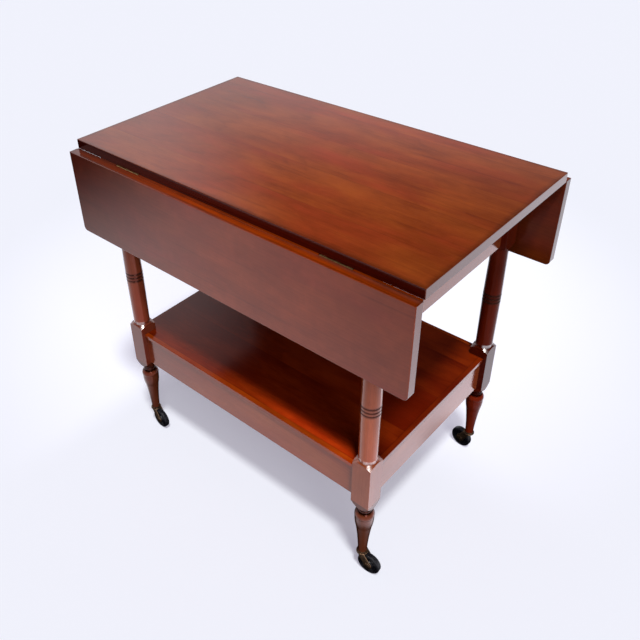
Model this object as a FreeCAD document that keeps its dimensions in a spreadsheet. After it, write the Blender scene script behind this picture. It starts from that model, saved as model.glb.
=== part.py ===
"""A drop leaf tea trolley: a fixed top with a hinged leaf on each long side, four turned legs
on casters, an upper frame of four aprons, and a low shelf carried by four rails.

X runs along the length, the front is -Y, +Z is up.  The origin is on the floor under the middle
of the top.  Lengths are millimetres.  One quarter, at +X and +Y, is modelled and then mirrored.
"""
import FreeCAD, Part
import math
import os
import re
import Sketcher
from FreeCAD import Placement, Rotation, Vector

doc = FreeCAD.newDocument("tea_trolley")

# ---------------------------------------------------------------- driving dimensions

SIZES = [
    # top and leaves
    ("top_long", 813, "length of the top and of each leaf"),
    ("top_wide", 460, "width of the fixed top"),
    ("table_height", 743, "floor to the upper face of the top"),
    ("board_thick", 19, "thickness of the top and of the leaves"),
    ("edge_ease", 1.2, "rounding of the board edges"),
    ("leaf_wide", 180, "hinge edge to free edge of a leaf"),
    ("leaf_gap", 0.3, "gap between a raised leaf and the top"),
    ("leaf_corner", 9, "radius of the free corners of a leaf"),
    # legs
    ("leg_square", 40, "side of the square blank"),
    ("leg_end_inset", 72, "end of the top to the leg"),
    ("leg_side_inset", 0.5, "long edge of the top to the leg"),
    ("leg_ease", 1, "rounding of the blank's arrises"),
    ("foot_radius", 9, "leg radius at the foot"),
    ("waist_radius", 15.6, "radius where the taper turns from hollow to full"),
    ("taper_hollow", 700, "radius of the hollow part of the taper"),
    ("taper_full", 120, "radius of the full part of the taper"),
    ("vase_radius", 19, "greatest radius of the vase"),
    ("vase_rise", 32, "rise from the turn of the taper to the greatest radius"),
    ("shoulder_curve", 13, "radius of the shoulder's curve"),
    ("shoulder_high", 14, "height of the shoulder"),
    ("neck_radius", 12, "radius of the neck over the vase"),
    ("bead_high", 5, "height of the bead on the neck"),
    ("bead_curve", 2.8, "radius of the bead's curve"),
    ("fillet_high", 2, "plain turning under the bead"),
    ("neck_plain", 1.4, "plain turning over the bead"),
    ("neck_slope", 1.39, "rise per unit of radius from the neck to the lower block"),
    ("pommel_slope", 0.7, "rise per unit of radius from a block to the shaft"),
    ("block_under_rail", 1.5, "shelf rails to the lower ends of the lower block's arrises"),
    ("block_over_shelf", 16, "shelf to the upper ends of those arrises"),
    ("block_under_apron", 1, "aprons to the lower ends of the upper block's arrises"),
    ("shaft_radius", 17, "radius of the turned shaft at its upper end"),
    ("shaft_foot_radius", 17.8, "radius of the shaft at its lower end"),
    ("ring_radius", 18.6, "radius of the shaft's swelling at the rings"),
    ("ring_height", 446, "floor to the middle one of the three burnt rings"),
    ("ring_pitch", 8.2, "spacing of the rings"),
    ("ring_deep", 0.9, "depth of a ring groove"),
    ("ring_wide", 3, "width of a ring groove"),
    # upper frame, shelf frame and shelf
    ("apron_thick", 16, "thickness of the aprons"),
    ("apron_deep", 150, "depth of the aprons"),
    ("rail_thick", 16, "thickness of the shelf rails"),
    ("rail_deep", 76, "depth of the shelf rails"),
    ("tenon_thick", 8, "thickness of every tenon"),
    ("tenon_shoulder", 10, "shoulder above and below a tenon"),
    ("tenon_tip_room", 2, "wood left between the tip of a tenon and its neighbour"),
    ("mortise_room", 0.1, "clearance of a mortise round its tenon"),
    ("shelf_height", 295, "floor to the upper face of the shelf"),
    ("shelf_thick", 9.5, "thickness of the shelf"),
    ("shelf_overhang", 4.5, "shelf edge beyond the rail faces"),
    ("shelf_strip_wide", 10, "width of the solid strips round the shelf board"),
    ("shelf_notch_room", 0.3, "gap between the shelf and a leg"),
    # blocks that hold the top and the shelf down
    ("block_side", 50, "short sides of a corner block"),
    ("block_high", 22, "height of every block"),
    ("shelf_block_long", 60, "length of a shelf block"),
    ("shelf_block_wide", 20, "width of a shelf block"),
    ("shelf_block_leg_room", 114.5, "leg to the nearer end of a shelf block"),
    ("top_screw_long", 35, "length of the screws into the top"),
    ("shelf_screw_long", 28, "length of the screws into the shelf"),
    ("screw_radius", 2, "shank radius of both"),
    ("screw_head_radius", 4, "head radius of both"),
    ("screw_head_high", 2.4, "head height of both"),
    ("screw_hole_room", 0.1, "clearance round a shank and past its tip"),
    ("slot_wide", 0.9, "width of a screw slot"),
    ("slot_deep", 0.8, "depth of a screw slot"),
    # hinges
    ("hinge_leg_room", 12.5, "leg to the nearer end of a hinge"),
    ("hinge_long", 64, "length of a hinge"),
    ("hinge_reach", 22, "pin to the free edge of a plate"),
    ("plate_thick", 1.5, "thickness of every brass plate: hinges, stay brackets and catches"),
    ("barrel_radius", 1.6, "radius of the knuckles"),
    ("knuckles", 5, "number of knuckles"),
    ("knuckle_gap", 0.3, "gap between knuckles, and round them"),
    ("pin_radius", 0.8, "radius of a hinge pin"),
    ("pin_out", 1.6, "long edge of the top to the middle of a hinge pin"),
    ("running_room", 0.05, "radial clearance of everything that turns"),
    ("brass_screw_long", 12, "length of the brass screws"),
    ("brass_screw_radius", 1.6, "shank radius of the brass screws"),
    ("brass_head_radius", 3.1, "head radius of the brass screws"),
    ("hinge_screw_reach", 13, "pin to the screws of a plate"),
    ("hinge_screw_pitch", 24, "spacing of the screws of a plate"),
    # leaf stays
    ("stay_pivot_reach", 55, "hinge pin to the stay's pivot"),
    ("stay_pivot_drop", 5.5, "leaf face to the stay's pivot"),
    ("stay_wide", 12, "width of a stay"),
    ("stay_thick", 4, "thickness of a stay"),
    ("stay_eye_radius", 3.6, "radius of the stay's eye"),
    ("stay_pin_radius", 2, "radius of the stay's pin"),
    ("stay_foot_radius", 3, "radius of the stay's rounded foot"),
    ("stay_foot_drop", 72, "hinge pin to the resting foot, measured down"),
    ("bracket_half_long", 18, "half the length of the bracket's base"),
    ("bracket_half_wide", 8, "half the width of the bracket's base"),
    ("bracket_screw_x", 13, "middle of a bracket or a catch to its screws"),
    ("ear_radius", 4.4, "radius of a bracket ear"),
    ("ear_room", 0.4, "gap between the stay and an ear"),
    ("catch_half_long", 18, "half the length of a catch"),
    ("catch_rise", 12, "foot to the upper edge of a catch"),
    ("catch_fall", 22, "foot to the lower edge of a catch"),
    ("catch_step", 1, "height of the step that the foot drops behind"),
    ("catch_ramp", 12, "length of the ramp up to the step"),
    ("catch_room", 0.35, "gap between the resting foot and its catch"),
    # casters
    ("wheel_radius", 24.5, "radius of a wheel"),
    ("wheel_wide", 13, "width of a wheel at the hub"),
    ("rim_wide", 11.8, "width of a wheel at the rim"),
    ("tread_curve", 3, "rounding of the tread's edges"),
    ("rim_radius", 18.8, "inner radius of the rim"),
    ("hub_radius", 8.5, "radius of the hub"),
    ("step_radius", 13, "radius of the middle ring of the web"),
    ("web_wide", 7.4, "width of the web"),
    ("step_wide", 9.2, "width of the middle ring of the web"),
    ("trail", 17.5, "stem axis to wheel axis"),
    ("axle_radius", 3, "radius of an axle"),
    ("rivet_radius", 4.6, "head radius of an axle"),
    ("rivet_high", 1.3, "head height of an axle"),
    ("fork_thick", 1.8, "thickness of a fork arm"),
    ("wheel_side_room", 0.8, "gap between the hub and a fork arm"),
    ("wheel_crown_room", 1.1, "gap between the top of a wheel and the crown"),
    ("crown_radius", 12, "radius of a fork's crown"),
    ("crown_thick", 2.5, "thickness of a fork's crown"),
    ("arm_back", 11.4, "fork arm behind the stem, at the crown"),
    ("arm_front", 11.6, "fork arm in front of the stem, at the crown"),
    ("boss_radius", 9.2, "radius of a fork arm round the axle"),
    ("swivel_room", 0.4, "gap between the crown and the socket"),
    ("stem_radius", 4, "radius of a stem"),
    ("stem_long", 34, "stem above the end of the leg"),
    ("stem_rivet_radius", 6.5, "head radius of a stem, under the crown"),
    ("stem_rivet_high", 1.6, "head height of a stem"),
    ("socket_wall", 1, "wall of a socket"),
    ("socket_deep", 36, "depth of a socket's bore in the leg"),
    ("flange_radius", 10, "radius of a socket's flange"),
    ("flange_thick", 3, "thickness of a socket's flange"),
    ("front_left_turn", -4, "degrees that a caster is turned, with 0 trailing towards +X"),
    ("front_right_turn", 5, "degrees"),
    ("back_left_turn", 14, "degrees"),
    ("back_right_turn", 173, "degrees"),
]

# places that follow from the sizes
PLACES = [
    ("crown_under", "2 * wheel_radius + wheel_crown_room"),
    ("crown_top", "crown_under + crown_thick"),
    ("foot_height", "crown_top + swivel_room + flange_thick"),
    ("leg_x", "top_long / 2 - leg_end_inset - leg_square / 2"),
    ("leg_y", "top_wide / 2 - leg_side_inset - leg_square / 2"),
    ("leg_inner_x", "leg_x - leg_square / 2"),
    ("leg_inner_y", "leg_y - leg_square / 2"),
    ("underside", "table_height - board_thick"),
    ("pin_y", "top_wide / 2 + pin_out"),
    ("pin_z", "underside - barrel_radius"),
    ("leaf_inner", "pin_y + barrel_radius"),
    ("leaf_top", "pin_z + pin_out - leaf_gap"),
    ("leaf_bottom", "leaf_top - leaf_wide"),
    ("corner_radius", "leg_square * sqrt(2) / 2"),
    ("tenon_long", "leg_square / 2 - tenon_thick / 2 - tenon_tip_room"),
    ("apron_y", "leg_inner_y + apron_thick / 2"),
    ("apron_outer", "leg_inner_y + apron_thick"),
    ("apron_bottom", "underside - apron_deep"),
    ("shelf_under", "shelf_height - shelf_thick"),
    ("rail_bottom", "shelf_under - rail_deep"),
    ("shelf_half_long", "leg_x + rail_thick / 2 + shelf_overhang"),
    ("shelf_half_wide", "leg_y + rail_thick / 2 + shelf_overhang"),
    ("shelf_notch_x", "leg_inner_x - shelf_notch_room"),
    ("shelf_notch_y", "leg_inner_y - shelf_notch_room"),
    ("lower_block_bottom", "rail_bottom - block_under_rail"),
    ("lower_block_top", "shelf_height + block_over_shelf"),
    ("upper_block_bottom", "apron_bottom - block_under_apron"),
    ("shaft_bottom", "lower_block_top + (corner_radius - shaft_foot_radius) * pommel_slope"),
    ("shaft_top", "upper_block_bottom - (corner_radius - shaft_radius) * pommel_slope"),
    ("neck_top", "lower_block_bottom - (corner_radius - neck_radius) * neck_slope"),
    ("bead_top", "neck_top - neck_plain"),
    ("bead_bottom", "bead_top - bead_high"),
    ("shoulder_top", "bead_bottom - fillet_high"),
    ("vase_height", "shoulder_top - shoulder_high"),
    ("waist_height", "vase_height - vase_rise"),
    ("block_corner_x", "leg_x - apron_thick / 2"),
    ("block_screw_x", "block_corner_x - block_side / 3"),
    ("block_screw_y", "leg_inner_y - block_side / 3"),
    ("shelf_block_x", "leg_inner_x - shelf_block_leg_room - shelf_block_long / 2"),
    ("shelf_block_y", "leg_y - rail_thick / 2 - shelf_block_wide / 2"),
    ("hinge_x", "leg_inner_x - hinge_leg_room - hinge_long / 2"),
    ("knuckle_pitch", "hinge_long / knuckles"),
    ("hinge_screw_y", "pin_y - hinge_screw_reach"),
    ("stay_pivot_y", "leaf_inner - stay_pivot_drop"),
    ("stay_pivot_z", "pin_z - stay_pivot_reach"),
    ("foot_y", "apron_outer + plate_thick + catch_room + stay_foot_radius"),
    ("foot_z", "pin_z - stay_foot_drop"),
    ("stay_span_y", "pin_y + stay_pivot_reach - foot_y"),
    ("stay_span_z", "stay_foot_drop + barrel_radius - stay_pivot_drop"),
    ("stay_long", "sqrt(stay_span_y ^ 2 + stay_span_z ^ 2)"),
    ("stay_pin_long", "stay_wide + 2 * ear_room + 2 * plate_thick"),
    ("fork_inner", "wheel_wide / 2 + wheel_side_room"),
    ("fork_outer", "fork_inner + fork_thick"),
    ("arm_drop", "crown_top - wheel_radius"),
    ("arm_long", "sqrt(trail ^ 2 + arm_drop ^ 2)"),
    ("boss_x", "boss_radius * arm_drop / arm_long"),
    ("boss_z", "boss_radius * trail / arm_long"),
    ("socket_bore", "stem_radius + running_room"),
    ("socket_radius", "socket_bore + socket_wall"),
]

SHEET_OF = {}


def fill_sheet(name, rows):
    """Make a sheet with an alias in column A, its value or formula in B and a note in C."""
    sheet = doc.addObject("Spreadsheet::Sheet", name)
    for number, (alias, content, note) in enumerate(rows, start=1):
        SHEET_OF[alias] = name + "."
        sheet.set("A%d" % number, alias)
        sheet.set("B%d" % number, content)
        sheet.setAlias("B%d" % number, alias)
        sheet.set("C%d" % number, note)
    doc.recompute()
    return sheet


def expression(text):
    """Put the name of its sheet before each alias in an expression."""
    return re.sub(r"[a-z][a-z_]+", lambda word: SHEET_OF.get(word.group(), "") + word.group(), text)


def bind(thing, path, text):
    """Tie a property of an object to an expression over the aliases."""
    thing.setExpression(path, expression(text))


sizes = fill_sheet("Sizes", [(alias, str(size), note) for alias, size, note in SIZES])
for alias, formula in PLACES:
    SHEET_OF[alias] = "Places."
fill_sheet("Places", [(alias, "=" + expression(formula), formula) for alias, formula in PLACES])


def number(text):
    """The present value of an expression over the aliases."""
    return float(sizes.evalExpression(expression(text)))


# ---------------------------------------------------------------- primitives and booleans

AXIS_TURN = {
    "X": Rotation(Vector(0, 1, 0), 90),
    "Y": Rotation(Vector(1, 0, 0), -90),
    "Z": Rotation(),
}


def place(thing, x="0", y="0", z="0"):
    """Tie the place of an object to three expressions."""
    bind(thing, "Placement.Base.x", x)
    bind(thing, "Placement.Base.y", y)
    bind(thing, "Placement.Base.z", z)
    return thing


def box(name, span_x, span_y, span_z, x, y, z):
    """A box that is centred on x and y and stands on z."""
    solid = doc.addObject("Part::Box", name)
    bind(solid, "Length", span_x)
    bind(solid, "Width", span_y)
    bind(solid, "Height", span_z)
    return place(solid, "%s - (%s) / 2" % (x, span_x), "%s - (%s) / 2" % (y, span_y), z)


def rod(name, radius, long, x, y, z, axis):
    """A cylinder whose middle is at x, y, z."""
    solid = doc.addObject("Part::Cylinder", name)
    solid.Placement = Placement(Vector(), AXIS_TURN[axis])
    bind(solid, "Radius", radius)
    bind(solid, "Height", long)
    middle = {"X": x, "Y": y, "Z": z}
    middle[axis] = "%s - (%s) / 2" % (middle[axis], long)
    return place(solid, middle["X"], middle["Y"], middle["Z"])


def sink(name, wide, narrow, high, x, y, z):
    """A cone that stands on z, for the head of a countersunk screw."""
    solid = doc.addObject("Part::Cone", name)
    bind(solid, "Radius1", wide)
    bind(solid, "Radius2", narrow)
    bind(solid, "Height", high)
    return place(solid, x, y, z)


def fuse(name, parts):
    """One solid from several."""
    joined = doc.addObject("Part::MultiFuse", name)
    joined.Shapes = parts
    joined.Refine = True
    return joined


def gather(name, parts):
    """Several separate solids in one object."""
    group = doc.addObject("Part::Compound", name)
    group.Links = parts
    return group


def cut(name, base, tools):
    """A solid less several tools."""
    result = doc.addObject("Part::Cut", name)
    result.Base = base
    result.Tool = tools[0] if len(tools) == 1 else gather(name + "_tools", tools)
    return result


def mirrored(name, source, normal):
    """A copy reflected in the plane through the middle of the trolley with that normal."""
    copy = doc.addObject("Part::Mirroring", name)
    copy.Source = source
    copy.Normal = normal
    return copy


ACROSS = Vector(1, 0, 0)
THROUGH = Vector(0, 1, 0)


def placed(name, source, x, y, z, rotation=Rotation()):
    """A copy of an object that was made at the origin, at x, y, z."""
    copy = gather(name, [source])
    copy.Placement = Placement(Vector(), rotation)
    return place(copy, x, y, z)


# ---------------------------------------------------------------- bodies and sketches


def new_body(name, x="0", y="0", z="0"):
    """An empty PartDesign body at x, y, z."""
    return place(doc.addObject("PartDesign::Body", name), x, y, z)


def new_sketch(body, name, role, lift="0"):
    """An empty sketch on one of the body's origin planes, lifted along that plane's normal."""
    sketch = body.newObject("Sketcher::SketchObject", name)
    plane = next(feature for feature in body.Origin.OriginFeatures if feature.Role == role)
    sketch.AttachmentSupport = [(plane, "")]
    sketch.MapMode = "FlatFace"
    bind(sketch, "AttachmentOffset.Base.z", lift)
    return sketch


def tie(sketch, kind, geometry, point, text):
    """Constrain a point of the sketch to a distance from its origin."""
    index = sketch.addConstraint(Sketcher.Constraint(kind, -1, 1, geometry, point, number(text)))
    sketch.setExpression("Constraints[%d]" % index, expression(text))


def arc_middle(start, end, radius):
    """The middle of the short arc between two points, on the right of the way if radius > 0."""
    chord = end - start
    half = chord.Length / 2
    aside = Vector(chord.y, -chord.x, 0).normalize()
    swell = abs(radius) - math.sqrt(radius ** 2 - half ** 2)
    return (start + end) / 2 + aside * math.copysign(swell, radius)


def outline(sketch, points):
    """Draw a closed outline.

    Each point is (x, y) for a straight edge to the next point, or (x, y, radius) for an arc,
    which bulges to the right of the way when radius is "+..." and to the left when "-...".
    """
    places = [Vector(number(point[0]), number(point[1]), 0) for point in points]
    starts = []
    ends = []
    for index, point in enumerate(points):
        start = places[index]
        end = places[(index + 1) % len(places)]
        radius = number(point[2]) if len(point) == 3 else 0
        forward = radius >= 0
        if radius == 0:
            edge = sketch.addGeometry(Part.LineSegment(start, end))
        else:
            middle = arc_middle(start, end, radius)
            way = (start, middle, end) if forward else (end, middle, start)
            edge = sketch.addGeometry(Part.Arc(*way))
            limit = sketch.addConstraint(Sketcher.Constraint("Radius", edge, abs(radius)))
            sketch.setExpression("Constraints[%d]" % limit, expression("abs(%s)" % point[2]))
        starts.append((edge, 1 if forward else 2))
        ends.append((edge, 2 if forward else 1))
    for index, point in enumerate(points):
        before = ends[index - 1]
        here = starts[index]
        sketch.addConstraint(Sketcher.Constraint("Coincident", *before, *here))
        tie(sketch, "DistanceX", *here, point[0])
        tie(sketch, "DistanceY", *here, point[1])


def rectangle(sketch, left, bottom, right, top):
    """Draw a rectangle between four expressions."""
    outline(sketch, [(left, bottom), (right, bottom), (right, top), (left, top)])


def rounded_square(sketch, half, radius):
    """Draw a square about the origin with rounded corners."""
    side = "(%s)" % half
    near = "(%s - %s)" % (half, radius)
    outline(sketch, [
        (near, "-" + side, radius), (side, "-" + near),
        (side, near, radius), (near, side),
        ("-" + near, side, radius), ("-" + side, near),
        ("-" + side, "-" + near, radius), ("-" + near, "-" + side),
    ])


def circles(sketch, radius, centres):
    """Draw a circle of one radius at each of the centres."""
    for x, y in centres:
        centre = Vector(number(x), number(y), 0)
        circle = sketch.addGeometry(Part.Circle(centre, Vector(0, 0, 1), number(radius)))
        tie(sketch, "DistanceX", circle, 3, x)
        tie(sketch, "DistanceY", circle, 3, y)
        limit = sketch.addConstraint(Sketcher.Constraint("Radius", circle, number(radius)))
        sketch.setExpression("Constraints[%d]" % limit, expression(radius))


def pad(body, name, sketch, long, back=False):
    """Grow the body from a sketch, along its normal or back from it."""
    feature = body.newObject("PartDesign::Pad", name)
    feature.Profile = sketch
    feature.Reversed = back
    bind(feature, "Length", long)
    doc.recompute()


def pocket(body, name, sketch, long, back=False):
    """Cut the body under a sketch, against its normal or back along it, and see that it cut."""
    before = body.Shape.Volume
    feature = body.newObject("PartDesign::Pocket", name)
    feature.Profile = sketch
    feature.Reversed = back
    bind(feature, "Length", long)
    doc.recompute()
    if body.Shape.Volume >= before:
        raise RuntimeError(name + " cuts nothing")


def revolve(body, name, sketch):
    """Turn a sketch about its own vertical axis."""
    feature = body.newObject("PartDesign::Revolution", name)
    feature.Profile = sketch
    feature.ReferenceAxis = (sketch, ["V_Axis"])
    feature.Angle = 360
    doc.recompute()


def ease(body, name, radius, chosen):
    """Round the edges of the body's last feature that the test picks."""
    doc.recompute()
    base = body.Tip
    edges = ["Edge%d" % index for index, edge in enumerate(base.Shape.Edges, start=1) if chosen(edge)]
    feature = body.newObject("PartDesign::Fillet", name)
    feature.Base = (base, edges)
    bind(feature, "Radius", radius)
    doc.recompute()


def runs_along(edge, direction):
    """Whether an edge is straight and parallel to a direction."""
    if edge.Curve.TypeId != "Part::GeomLine":
        return False
    return edge.Curve.Direction.cross(direction).Length < 1e-6


# ---------------------------------------------------------------- fasteners, made at the origin


def screw_slot(body, seat):
    """Cut the slot into a screw's head, whose flat is at the height seat."""
    sketch = new_sketch(body, body.Name + "_slot", "XY_Plane", seat)
    across = "screw_head_radius + slot_wide"
    rectangle(sketch, "-(%s)" % across, "-slot_wide / 2", across, "slot_wide / 2")
    pocket(body, body.Name + "_slot_cut", sketch, "slot_deep", back=True)


def block_screw(name, long):
    """A round-headed screw that points up, with its seat at the origin."""
    body = new_body(name)
    profile = new_sketch(body, name + "_profile", "XZ_Plane")
    outline(profile, [
        ("0", "-screw_head_high"), ("screw_head_radius", "-screw_head_high"),
        ("screw_head_radius", "0"), ("screw_radius", "0"),
        ("screw_radius", "%s - 2 * screw_radius" % long), ("0", long),
    ])
    revolve(body, name + "_turned", profile)
    screw_slot(body, "-screw_head_high")
    return body


def brass_screw():
    """A countersunk screw that points up, with the flat of its head at the origin."""
    body = new_body("brass_screw")
    profile = new_sketch(body, "brass_screw_profile", "XZ_Plane")
    outline(profile, [
        ("0", "0"), ("brass_head_radius", "0"),
        ("brass_screw_radius", "plate_thick"),
        ("brass_screw_radius", "brass_screw_long - 2 * brass_screw_radius"),
        ("0", "brass_screw_long"),
    ])
    revolve(body, "brass_screw_turned", profile)
    screw_slot(body, "0")
    return body


def countersink(name, x, y, z):
    """The tool that seats a brass screw in a plate whose outer face is at z."""
    return sink(name, "brass_head_radius + running_room", "brass_screw_radius + running_room",
                "plate_thick", x, y, z)


# ---------------------------------------------------------------- wood


def both_signs(points):
    """Each point of one quarter, and its three reflections."""
    return [(sign_x + x, sign_y + y) for x, y in points for sign_x in ("", "-") for sign_y in ("", "-")]


def hinge_screw_xs():
    """The X of the three screws of the hinge at +X."""
    return ["(hinge_x + %d * hinge_screw_pitch)" % step for step in (-1, 0, 1)]


def top_board():
    """The fixed top, with the screw holes in its underside."""
    body = new_body("top_board_body", z="underside")
    sketch = new_sketch(body, "top_outline", "XY_Plane")
    rectangle(sketch, "-top_long / 2", "-top_wide / 2", "top_long / 2", "top_wide / 2")
    pad(body, "top_pad", sketch, "board_thick")
    ease(body, "top_eased", "edge_ease", lambda edge: edge.CenterOfMass.z > 0)
    sketch = new_sketch(body, "top_hinge_holes", "XY_Plane")
    circles(sketch, "brass_screw_radius + running_room",
            both_signs([(x, "hinge_screw_y") for x in hinge_screw_xs()]))
    pocket(body, "top_hinge_pilots", sketch, "brass_screw_long - plate_thick + screw_hole_room", back=True)
    sketch = new_sketch(body, "top_block_holes", "XY_Plane")
    circles(sketch, "screw_radius + screw_hole_room", both_signs([("block_screw_x", "block_screw_y")]))
    pocket(body, "top_block_pilots", sketch, "top_screw_long - block_high + screw_hole_room", back=True)
    return body


def back_leaf():
    """The leaf at +Y, hanging, with the screw holes in its inner face."""
    body = new_body("back_leaf_body", y="leaf_inner + board_thick")
    sketch = new_sketch(body, "leaf_outline", "XZ_Plane")
    outline(sketch, [
        ("-top_long / 2", "leaf_top"), ("-top_long / 2", "leaf_bottom + leaf_corner", "leaf_corner"),
        ("-top_long / 2 + leaf_corner", "leaf_bottom"),
        ("top_long / 2 - leaf_corner", "leaf_bottom", "leaf_corner"),
        ("top_long / 2", "leaf_bottom + leaf_corner"), ("top_long / 2", "leaf_top"),
    ])
    pad(body, "leaf_pad", sketch, "board_thick")
    ease(body, "leaf_eased", "edge_ease", lambda edge: not runs_along(edge, THROUGH)
         and (edge.CenterOfMass.z < number("leaf_top") - number("edge_ease") or edge.CenterOfMass.y > -1))
    sketch = new_sketch(body, "leaf_holes", "XZ_Plane", "board_thick")
    hinge_holes = [(sign + x, "pin_z - hinge_screw_reach") for x in hinge_screw_xs() for sign in ("", "-")]
    bracket_holes = [("bracket_screw_x", "stay_pivot_z"), ("-bracket_screw_x", "stay_pivot_z")]
    circles(sketch, "brass_screw_radius + running_room", hinge_holes + bracket_holes)
    pocket(body, "leaf_pilots", sketch, "brass_screw_long - plate_thick + screw_hole_room")
    return body


def ring_grooves():
    """The points of the three burnt rings, upwards along the shaft."""
    points = []
    for step in (-1, 0, 1):
        middle = "ring_height + %d * ring_pitch" % step
        points += [
            ("ring_radius", middle + " - ring_wide / 2"),
            ("ring_radius - ring_deep", middle),
            ("ring_radius", middle + " + ring_wide / 2"),
        ]
    return points


def back_right_leg():
    """A leg turned from a square blank, with its mortises and the bore for the caster."""
    body = new_body("back_right_leg_body", "leg_x", "leg_y")
    profile = new_sketch(body, "leg_profile", "XZ_Plane")
    outline(profile, [
        ("0", "foot_height"),
        ("foot_radius", "foot_height", "-taper_hollow"),
        ("waist_radius", "waist_height", "taper_full"),
        ("vase_radius", "vase_height", "shoulder_curve"),
        ("neck_radius + fillet_high", "shoulder_top"),
        ("neck_radius", "shoulder_top"),
        ("neck_radius", "bead_bottom", "bead_curve"),
        ("neck_radius", "bead_top"),
        ("neck_radius", "neck_top"),
        ("corner_radius", "lower_block_bottom"),
        ("leg_square", "lower_block_bottom"),
        ("leg_square", "lower_block_top"),
        ("corner_radius", "lower_block_top"),
        ("shaft_foot_radius", "shaft_bottom"),
        *ring_grooves(),
        ("shaft_radius", "shaft_top"),
        ("corner_radius", "upper_block_bottom"),
        ("leg_square", "upper_block_bottom"),
        ("leg_square", "underside"),
        ("0", "underside"),
    ])
    revolve(body, "leg_turned", profile)
    sketch = new_sketch(body, "leg_blank", "XY_Plane", "foot_height")
    rounded_square(sketch, "2 * leg_square", "leg_ease")
    rounded_square(sketch, "leg_square / 2", "leg_ease")
    pocket(body, "leg_squared", sketch, "underside - foot_height", back=True)
    mortises(body)
    sketch = new_sketch(body, "leg_bore", "XY_Plane", "foot_height")
    circles(sketch, "socket_radius + running_room", [("0", "0")])
    pocket(body, "leg_bored", sketch, "socket_deep + screw_hole_room", back=True)
    return body


def mortises(body):
    """Cut the four mortises of the leg at +X and +Y into its two inner faces."""
    half = "(tenon_thick / 2 + mortise_room)"
    heights = {
        "apron": ("apron_bottom + tenon_shoulder - mortise_room", "underside - tenon_shoulder + mortise_room"),
        "rail": ("rail_bottom + tenon_shoulder - mortise_room", "shelf_under - tenon_shoulder + mortise_room"),
    }
    aside = {"apron": "apron_y - leg_y", "rail": "0"}
    for kind, (bottom, top) in heights.items():
        sketch = new_sketch(body, "long_%s_mortise" % kind, "YZ_Plane", "-leg_square / 2")
        rectangle(sketch, "%s - %s" % (aside[kind], half), bottom, "%s + %s" % (aside[kind], half), top)
        pocket(body, "long_%s_mortised" % kind, sketch, "tenon_long + mortise_room", back=True)
        sketch = new_sketch(body, "end_%s_mortise" % kind, "XZ_Plane", "leg_square / 2")
        rectangle(sketch, "-" + half, bottom, half, top)
        pocket(body, "end_%s_mortised" % kind, sketch, "tenon_long + mortise_room")


def rail(name, x, y, turned, inner, thick, deep, bottom):
    """An apron or a rail between two legs, with a tenon on each end; inner is half the clear span."""
    body = new_body(name + "_body", x, y)
    if turned:
        body.Placement = Placement(Vector(), Rotation(Vector(0, 0, 1), 90))
    section = new_sketch(body, name + "_section", "YZ_Plane", "-" + inner)
    rectangle(section, "-%s / 2" % thick, bottom, "%s / 2" % thick, "%s + %s" % (bottom, deep))
    pad(body, name + "_pad", section, "2 * " + inner)
    ease(body, name + "_eased", "edge_ease", lambda edge: runs_along(edge, ACROSS if not turned else THROUGH)
         and edge.CenterOfMass.z < number(bottom) + number("edge_ease"))
    section = new_sketch(body, name + "_tenon", "YZ_Plane", "-(%s + tenon_long)" % inner)
    rectangle(section, "-tenon_thick / 2", bottom + " + tenon_shoulder",
              "tenon_thick / 2", "%s + %s - tenon_shoulder" % (bottom, deep))
    pad(body, name + "_tenoned", section, "2 * (%s + tenon_long)" % inner)
    return body


def long_apron():
    """The apron behind the back leaf, with the screw holes for the stay's catch."""
    body = rail("long_apron", "0", "apron_y", False, "leg_inner_x", "apron_thick", "apron_deep", "apron_bottom")
    sketch = new_sketch(body, "catch_holes", "XZ_Plane", "-apron_thick / 2")
    circles(sketch, "brass_screw_radius + running_room",
            [("bracket_screw_x", "foot_z"), ("-bracket_screw_x", "foot_z")])
    pocket(body, "catch_pilots", sketch, "brass_screw_long - plate_thick + screw_hole_room", back=True)
    return body


def shelf_board():
    """The board of the low shelf, notched at the legs, with the screw holes in its underside."""
    body = new_body("shelf_board_body", z="shelf_under")
    sketch = new_sketch(body, "shelf_outline", "XY_Plane")
    quarter = [("shelf_half_long - shelf_strip_wide", "shelf_notch_y"), ("shelf_notch_x", "shelf_notch_y"),
               ("shelf_notch_x", "shelf_half_wide - shelf_strip_wide")]
    points = []
    for sign_x, sign_y in ((1, 1), (-1, 1), (-1, -1), (1, -1)):
        corner = [("%d * (%s)" % (sign_x, x), "%d * (%s)" % (sign_y, y)) for x, y in quarter]
        points += corner if sign_x == sign_y else corner[::-1]
    outline(sketch, points)
    pad(body, "shelf_pad", sketch, "shelf_thick")
    sketch = new_sketch(body, "shelf_holes", "XY_Plane")
    circles(sketch, "screw_radius + screw_hole_room", both_signs([("shelf_block_x", "shelf_block_y")]))
    pocket(body, "shelf_pilots", sketch, "shelf_screw_long - block_high + screw_hole_room", back=True)
    return body


def shelf_strip(name, half_long, outer, turned):
    """The strip along one edge of the shelf board, between two legs, with its outer edges eased."""
    body = new_body(name, z="shelf_under")
    if turned:
        body.Placement = Placement(Vector(), Rotation(Vector(0, 0, 1), -90))
    sketch = new_sketch(body, name + "_outline", "XY_Plane")
    rectangle(sketch, "-" + half_long, outer + " - shelf_strip_wide", half_long, outer)
    pad(body, name + "_pad", sketch, "shelf_thick")
    ease(body, name + "_eased", "edge_ease", lambda edge: runs_along(edge, ACROSS)
         and edge.CenterOfMass.y > number(outer) - number("edge_ease"))
    return body


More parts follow.
